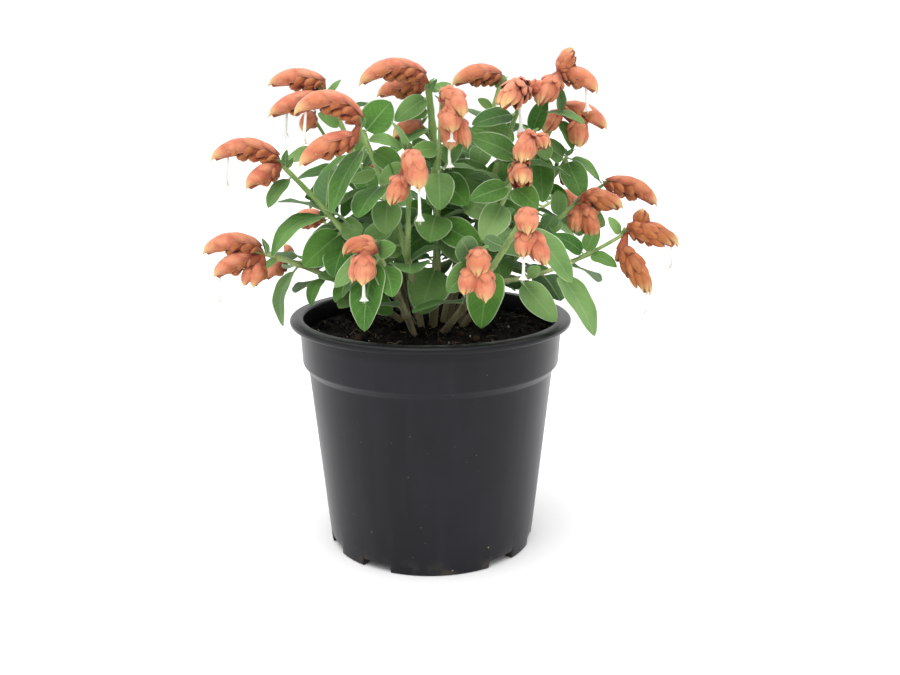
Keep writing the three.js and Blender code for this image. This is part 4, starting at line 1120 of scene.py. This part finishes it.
class Paint:
    """The node graph of a material or a world, written as nested calls that return sockets.

    Three numbers given for a colour are the 0 to 255 values that a screen shows."""

    def __init__(self, name, owners=bpy.data.materials):
        self.owner = owners.new(name)
        self.owner.use_nodes = True
        self.nodes = self.owner.node_tree.nodes
        self.nodes.clear()
        self.links = self.owner.node_tree.links

    def put(self, socket, value):
        if isinstance(value, bpy.types.NodeSocket):
            self.links.new(value, socket)
        elif socket.type == "RGBA" and len(value) == 3:
            socket.default_value = (*map(linear, value), 1)
        else:
            socket.default_value = value

    def node(self, kind, inputs, **settings):
        made = self.nodes.new("ShaderNode" + kind)
        for key, value in settings.items():
            setattr(made, key, value)
        for key, value in inputs.items():
            self.put(made.inputs[key], value)
        return made

    def math(self, operation, a, b=0.0):
        return self.node("Math", {0: a, 1: b}, operation=operation).outputs[0]

    def plus(self, a, b):
        return self.math("ADD", a, b)

    def minus(self, a, b):
        return self.math("SUBTRACT", a, b)

    def times(self, a, b):
        return self.math("MULTIPLY", a, b)

    def most(self, a, b):
        return self.math("MAXIMUM", a, b)

    def off_middle(self, value):
        """How far value lies from halfway between two whole numbers."""
        return self.math("ABSOLUTE", self.minus(self.math("FRACT", value), 0.5))

    def mix(self, share, a, b):
        return self.node("Mix", {0: share, 6: a, 7: b}, data_type="RGBA").outputs[2]

    def coated(self, skin, *coats):
        """skin under coats of colour, each as thick as its share says."""
        for share, shown in coats:
            skin = self.mix(share, skin, shown)
        return skin

    def step(self, value, low, high, to_low=0.0, to_high=1.0):
        """A smooth step of value between low and high."""
        inputs = {"Value": value, "From Min": low, "From Max": high, "To Min": to_low, "To Max": to_high}
        return self.node("MapRange", inputs, interpolation_type="SMOOTHSTEP").outputs[0]

    def parts(self, vector):
        return self.node("SeparateXYZ", {0: vector}).outputs[:3]

    def note(self, name):
        """The three numbers of a vertex note."""
        return self.parts(self.node("Attribute", {}, attribute_name=name).outputs["Vector"])

    def where(self, scale=(1, 1, 1)):
        """The place in the part's frame, stretched by scale."""
        place = self.node("TexCoord", {}).outputs["Object"]
        return self.node("VectorMath", {0: place, 1: scale}, operation="MULTIPLY").outputs[0]

    def noise(self, scale, detail=3.0, vector=None, roughness=0.5):
        inputs = {"Vector": vector or self.where(), "Scale": scale, "Detail": detail, "Roughness": roughness}
        return self.node("TexNoise", inputs).outputs[0]

    def cells(self, scale, feature="F1"):
        inputs = {"Vector": self.where(), "Scale": scale}
        return self.node("TexVoronoi", inputs, feature=feature).outputs["Distance"]

    def bump(self, height, strength, depth_mm):
        inputs = {"Height": height, "Strength": strength, "Distance": depth_mm * MM}
        return self.node("Bump", inputs).outputs[0]

    def finish(self, colour, roughness, normal=None, through=None, through_share=0.0, **settings):
        """Ends the graph in a Principled shader, and lets some light through where through is a colour."""
        inputs = {"Base Color": colour, "Roughness": roughness}
        inputs.update({key.replace("_", " "): value for key, value in settings.items()})
        facing = {"Normal": normal} if normal else {}
        surface = self.node("BsdfPrincipled", {**inputs, **facing}).outputs[0]
        if through:
            lit = self.node("BsdfTranslucent", {"Color": through, **facing}).outputs[0]
            surface = self.node("MixShader", {0: through_share, 1: surface, 2: lit}).outputs[0]
        self.node("OutputMaterial", {"Surface": surface})
        return self.owner


def leaf_paint():
    p = Paint("leaf")
    across, along, under = p.note("place")
    young, chance, _ = p.note("mood")
    out = p.math("ABSOLUTE", across)
    rake = p.times(p.math("POWER", out, VEIN_CURVE), VEIN_RAKE)
    beside = p.off_middle(p.times(p.minus(along, rake), VEINS))
    vein = p.times(p.step(beside, 0.41, 0.5), p.step(out, 0.93, 0.6))
    middle = p.step(out, 0.075, 0.02)
    net = p.step(p.cells(LEAF_NET, "DISTANCE_TO_EDGE"), 0.12, 0.0)
    veins = p.most(p.times(vein, 0.55), middle)
    patch = p.noise(LEAF_MOTTLING)
    grown = p.mix(p.step(patch, 0.3, 0.7), (42, 96, 14), (100, 156, 54))
    lit = p.times(p.step(chance, 0.25, 1.0), p.step(patch, 0.25, 0.75, 0.15, 0.7))
    # Painted shade: each blade is painted darker towards its root and along its midrib.
    root_shade = p.times(p.step(along, 0.75, 0.1), p.step(out, 0.8, 0.1))
    # The pale hair fringe along the margin, painted brighter than the hairs' own colour as a painted
    # highlight where light catches them.
    margin = p.step(out, 0.9, 1.0, 0.0, 0.85)
    top = p.coated(
        grown, (p.times(lit, 0.84), (186, 218, 148)), (p.times(root_shade, 0.45), (24, 62, 6)),
        (young, (138, 178, 100)), (p.times(net, 0.18), (128, 178, 110)),
        (p.times(veins, 0.36), (170, 206, 132)), (margin, (226, 240, 200)),
    )
    below = p.mix(veins, (118, 158, 104), (176, 200, 140))
    height = p.minus(p.times(p.noise(LEAF_GRAIN, 2), 0.5), p.plus(veins, net))
    through = p.mix(under, (116, 180, 30), (150, 200, 50))
    return p.finish(
        p.mix(under, top, below), p.step(patch, 0.3, 0.7, 0.5, 0.62), p.bump(height, 0.45, 0.25),
        through, LEAF_LIGHT, Sheen_Weight=0.16, Sheen_Roughness=0.4, Specular_IOR_Level=0.34,
    )


def stem_paint():
    p = Paint("stem")
    _, age, hair = p.note("place")
    streak = p.noise(STEM_STREAKS, 3, p.where((1, 1, 0.12)))
    old = p.mix(p.step(streak, 0.35, 0.65), (112, 100, 66), (168, 160, 116))
    fresh = p.mix(p.step(streak, 0.35, 0.65), (104, 138, 60), (156, 184, 108))
    skin = p.coated(old, (p.step(age, 0.1, 0.75), fresh), (hair, (214, 220, 190)))
    return p.finish(skin, 0.55, p.bump(streak, 0.5, 0.3), Sheen_Weight=0.6, Sheen_Roughness=0.35)


def bract_paint():
    p = Paint("bract")
    across, along, share = p.note("place")
    brick_and_shade, chance, tipped = p.note("mood")
    out = p.math("ABSOLUTE", across)
    fan = p.times(across, p.minus(1.25, p.times(along, 0.5)))
    rib = p.step(p.off_middle(p.times(fan, BRACT_RIBS)), 0.39, 0.5)
    net = p.step(p.cells(BRACT_NET, "DISTANCE_TO_EDGE"), 0.1, 0.0)
    veins = p.most(rib, p.times(net, 0.6))
    patch = p.noise(BRACT_MOTTLING)
    coral = p.mix(p.step(patch, 0.35, 0.65), (222, 126, 94), (240, 160, 122))
    coral = p.mix(p.step(chance, 0.5, 1.0, 0.0, 0.6), coral, (226, 142, 96))
    brick = p.mix(p.step(patch, 0.35, 0.65), (168, 92, 46), (202, 124, 68))
    brick = p.mix(p.step(chance, 0.4, 1.0, 0.0, 0.6), brick, (188, 120, 64))
    outer = p.step(share, 1.07, 1.06)  # share has 1 more on the inner side
    # Painted shade where a bract's root and edges lie under the bracts that cover it.
    covered_shade = p.most(p.step(along, 0.6, 0.1, 0.0, 0.8), p.step(out, 0.74, 1.0, 0.0, 0.5))
    cream = p.step(p.plus(share, p.times(along, 0.12)), 0.78, 1.12)
    cream = p.times(p.times(cream, tipped), outer)
    # Painted shade in the gaps between bracts, deeper on the darker rows.
    gap_shade = p.times(p.step(out, 0.5, 0.95), p.plus(0.22, p.times(brick_and_shade, 0.55)))
    margin = p.times(p.step(out, 0.93, 1.0), p.minus(0.35, brick_and_shade))
    skin = p.coated(
        # The brick colour: the bracts' own darker tone, and painted shade on a spike's lower rows.
        coral, (brick_and_shade, brick), (p.times(veins, 0.18), (176, 78, 60)),
        # Painted shade: a bract's inner side is painted half way towards a darker red.
        (p.times(covered_shade, outer), (136, 50, 36)), (p.minus(0.5, p.times(outer, 0.5)), (186, 92, 66)),
        (p.times(cream, 0.9), (246, 214, 146)), (gap_shade, (108, 46, 28)), (margin, (244, 200, 160)),
    )
    height = p.minus(p.times(patch, 0.6), veins)
    through = p.mix(cream, (230, 110, 70), (250, 210, 120))
    return p.finish(
        skin, 0.6, p.bump(height, 0.5, 0.22), through, BRACT_LIGHT,
        Sheen_Weight=0.3, Sheen_Roughness=0.4, Specular_IOR_Level=0.35,
    )


def corolla_paint():
    p = Paint("corolla")
    _, depth, anther = p.note("place")
    spots = p.times(p.step(p.cells(PETAL_SPOTS), 0.28, 0.2), p.step(depth, 0.86, 0.98))
    petal = p.coated(
        (252, 252, 248), (p.times(spots, 0.35), (180, 110, 150)),
        (p.step(depth, 0.35, 0.0), (246, 240, 206)), (anther, (196, 186, 176)),
    )
    return p.finish(petal, 0.45, None, (255, 255, 250), PETAL_LIGHT, Sheen_Weight=0.2)


def pot_paint():
    p = Paint("pot_plastic")
    _, _, height = p.parts(p.where())
    cloud = p.noise(POT_CLOUDS, 4)
    streak = p.noise(POT_STREAKS, 3, p.where((1, 1, 0.03)))
    grain = p.noise(POT_GRAIN, 2)
    black = p.mix(p.step(cloud, 0.3, 0.7), (15, 15, 20), (23, 23, 30))
    # Painted shade: the rim is painted darker than the wall.
    rim = p.step(height, *RIM_SHADE)
    near_foot = p.times(p.step(height, 0.05, 0.0), p.step(cloud, 0.45, 0.6))
    speck = p.times(p.step(p.cells(POT_SPECKS), 0.09, 0.05), p.step(p.noise(POT_DUST, 1), 0.52, 0.6))
    dust = p.times(speck, p.plus(0.12, near_foot))
    smear = p.times(p.step(height, 0.012, 0.0), p.step(p.noise(POT_SMEARS, 4), 0.45, 0.62))
    black = p.coated(
        black, (p.step(streak, 0.4, 0.7, 0.0, 0.25), (33, 33, 40)), (p.times(rim, 0.6), (8, 8, 9)),
        (dust, (176, 160, 128)), (p.times(smear, 0.3), (96, 86, 70)),
    )
    rough = p.plus(p.step(cloud, 0.3, 0.7, 0.28, 0.36), p.times(dust, 0.4))
    skin = p.bump(p.plus(grain, p.times(streak, 0.6)), 0.25, 0.08)
    return p.finish(black, rough, skin, Specular_IOR_Level=0.22)


def peat_paint():
    p = Paint("peat")
    bark, _, _ = p.note("mood")
    dark = p.mix(p.step(p.noise(PEAT_DAMP, 4), 0.35, 0.65), (10, 8, 7), (26, 20, 16))
    crumb = p.step(p.cells(PEAT_CRUMBS), 0.2, 0.1, 0.0, 0.25)
    dark = p.coated(dark, (p.step(bark, 0.8, 1.0, 0.0, 0.8), (74, 54, 38)), (crumb, (110, 92, 70)))
    rough = p.bump(p.noise(PEAT_GRAIN, 5, None, 0.7), 0.9, 0.6)
    return p.finish(dark, 0.9, rough, Specular_IOR_Level=0.25)


def plain_paint(name, dark, light, scale):
    """A paint between two colours, by each crumb's own chance and a fine noise."""
    p = Paint(name)
    chance, _, _ = p.note("mood")
    skin = p.mix(p.times(p.plus(chance, p.noise(scale)), 0.5), dark, light)
    return p.finish(skin, 0.8, p.bump(p.noise(scale * 3), 0.5, 0.2))


# ---- The pieces ----

LOOKS_SEED = 5
CRUMBS = ((420, (0.7, 2.6), 2), (700, (0.35, 0.9), 1))
FIBRES = 110
PERLITE = (34, (0.35, 1.1), 1)
PERLITE_RISE = 0.7
BARE_NODES = 4  # swellings of each shoot that have lost their leaves
LEAFLETS = 5  # small leaves round the foot of a flower head
LEAFLET_PLACE = (0.955, 0.995)
LEAFLET_LENGTH = (5.0, 9.0)
LEAFLET_WIDTH = 0.42  # as a share of the length
LEAFLET_ROLL = (-40.0, 40.0)
LEAFLET_UNEVEN = 25.0

chance = np.random.default_rng(LOOKS_SEED)
leaf_material, stem_material, bract_material = leaf_paint(), stem_paint(), bract_paint()
corolla_material, peat_material = corolla_paint(), peat_paint()
fibre_material = plain_paint("fibre", (50, 40, 28), (150, 132, 100), 500)
perlite_material = plain_paint("perlite", (150, 140, 120), (232, 228, 216), 900)

drill(pot_shape().piece("pot_shell", pot_paint(), "pot", "pot", sharp_deg=50))
soil_shape().piece("soil_fill", peat_material, "soil", "soil", sharp_deg=180)
crumbs(chance, *CRUMBS).piece("soil_crumbs", peat_material, "soil", "soil", sharp_deg=180)
fibres(chance, FIBRES).piece("soil_fibres", fibre_material, "soil", "soil")
crumbs(chance, PERLITE, rise=PERLITE_RISE).piece("soil_perlite", perlite_material, "soil", "soil")

leaves_of = placed_leaves()
for stem in STEMS:
    rods, blades = Shape(), Shape()
    for name in (name for name in curves if stem_of(name) == stem):
        spots = list(chance.uniform(0.2, 0.9, BARE_NODES)) + [leaf[0] for leaf in LEAVES.get(name, [])]
        add_shoot(rods, name, spots, chance)
        for leaf in leaves_of[name]:
            add_leaf(blades, chance, *leaf)
        uneven = chance.uniform(-LEAFLET_UNEVEN, LEAFLET_UNEVEN, LEAFLETS)
        for turn in uneven + np.arange(LEAFLETS) * 360 / LEAFLETS:
            root = curves[name].at(chance.uniform(*LEAFLET_PLACE))
            ahead = unit(direction(turn, 10) + curves[name].tangent(1) * chance.uniform(0.4, 1.6))
            length = chance.uniform(*LEAFLET_LENGTH)
            roll = chance.uniform(*LEAFLET_ROLL)
            add_leaf(blades, chance, root, *angles_of(ahead), length, LEAFLET_WIDTH * length, roll)
    rods.piece(f"stem_{stem}", stem_material, "foliage", f"leafy_stem_{stem}")
    blades.piece(f"leaves_{stem}", leaf_material, "foliage", f"leafy_stem_{stem}")

for name, spikes in HEADS.items():
    curve = curves[name]
    start = curve.at(1) - curve.tangent(1) * 0.8
    feet = [curve.at(1) + np.array(spike[0]) for spike in spikes]
    bracts, tubes = Shape(), Shape()
    for spike, foot in zip(spikes, feet):
        heading, rise = spike[1:3]
        level = abs(rise) < LEVEL_DEG and apart(heading, 0) < LEVEL_SIDE_DEG and name in LEVEL_SPIKES
        rows, opening = CLOSED_ROWS, 0.0
        if name in OPEN_HEADS and not level:
            rows, opening = OPEN_ROWS, WIDE_OPEN.get(name, OPENING)
        add_spike(bracts, start, foot, spike, rows, opening, DULL_HEADS.get(name, 0.0), chance)
    bracts.piece(f"bracts_{name}", bract_material, "bracts", f"flower_head_{name}")
    for number, share, length, heading, pitch in COROLLAS.get(name, []):
        root = spike_point(feet[number], spikes[number], share, 0, 0)
        add_corolla(tubes, root, length, heading, pitch, chance)
    if tubes.count:
        tubes.piece(f"corollas_{name}", corolla_material, "bracts", f"flower_head_{name}")

# ---- Floor and light ----

FLOOR_HALF = 6.0  # m
FLOOR_HEIGHT = -0.0002
FLOOR_GREY = (0.9, 0.9, 0.9, 1)
BRIGHT_BACK = 1.1  # the studio's white wall behind, and a low white wall all round
BRIGHT_ABOVE = 1.9  # the soft box over it
DIM_ROUND = 0.42  # the room in front and at the sides
KEY_STRENGTH = 0.7
KEY_SIZE_DEG = 40.0
KEY_FROM = (-0.2, -0.3, 1.0)

floor_mesh = bpy.data.meshes.new("floor")
corners = [(x * FLOOR_HALF, y * FLOOR_HALF, FLOOR_HEIGHT) for x, y in ((-1, -1), (1, -1), (1, 1), (-1, 1))]
floor_mesh.from_pydata(corners, [], [[0, 1, 2, 3]])
floor_mesh.materials.append(Paint("floor_white").finish(FLOOR_GREY, 0.9, Specular_IOR_Level=0.0))
floor = added("floor", floor_mesh)

room = Paint("studio", bpy.data.worlds)
_, back, above = room.parts(room.node("TexCoord", {}).outputs["Generated"])
far_wall = room.step(back, 0.35, 0.8, DIM_ROUND, BRIGHT_BACK)
low_wall = room.step(above, 0.15, 0.24, BRIGHT_BACK, DIM_ROUND)
soft_box = room.step(above, 0.25, 0.75, DIM_ROUND, BRIGHT_ABOVE)
light = {"Color": WHITE, "Strength": room.most(room.most(far_wall, low_wall), soft_box)}
room.node("OutputWorld", {"Surface": room.node("Background", light).outputs[0]})
bpy.context.scene.world = room.owner

sun = bpy.data.lights.new("key", "SUN")
sun.energy = KEY_STRENGTH
sun.angle = math.radians(KEY_SIZE_DEG)
key = added("key", sun)
key.rotation_euler = Vector(KEY_FROM).to_track_quat("Z", "Y").to_euler()

bpy.context.scene.view_settings.view_transform = "Standard"
bpy.context.scene.view_settings.look = "None"

bpy.context.view_layer.update()
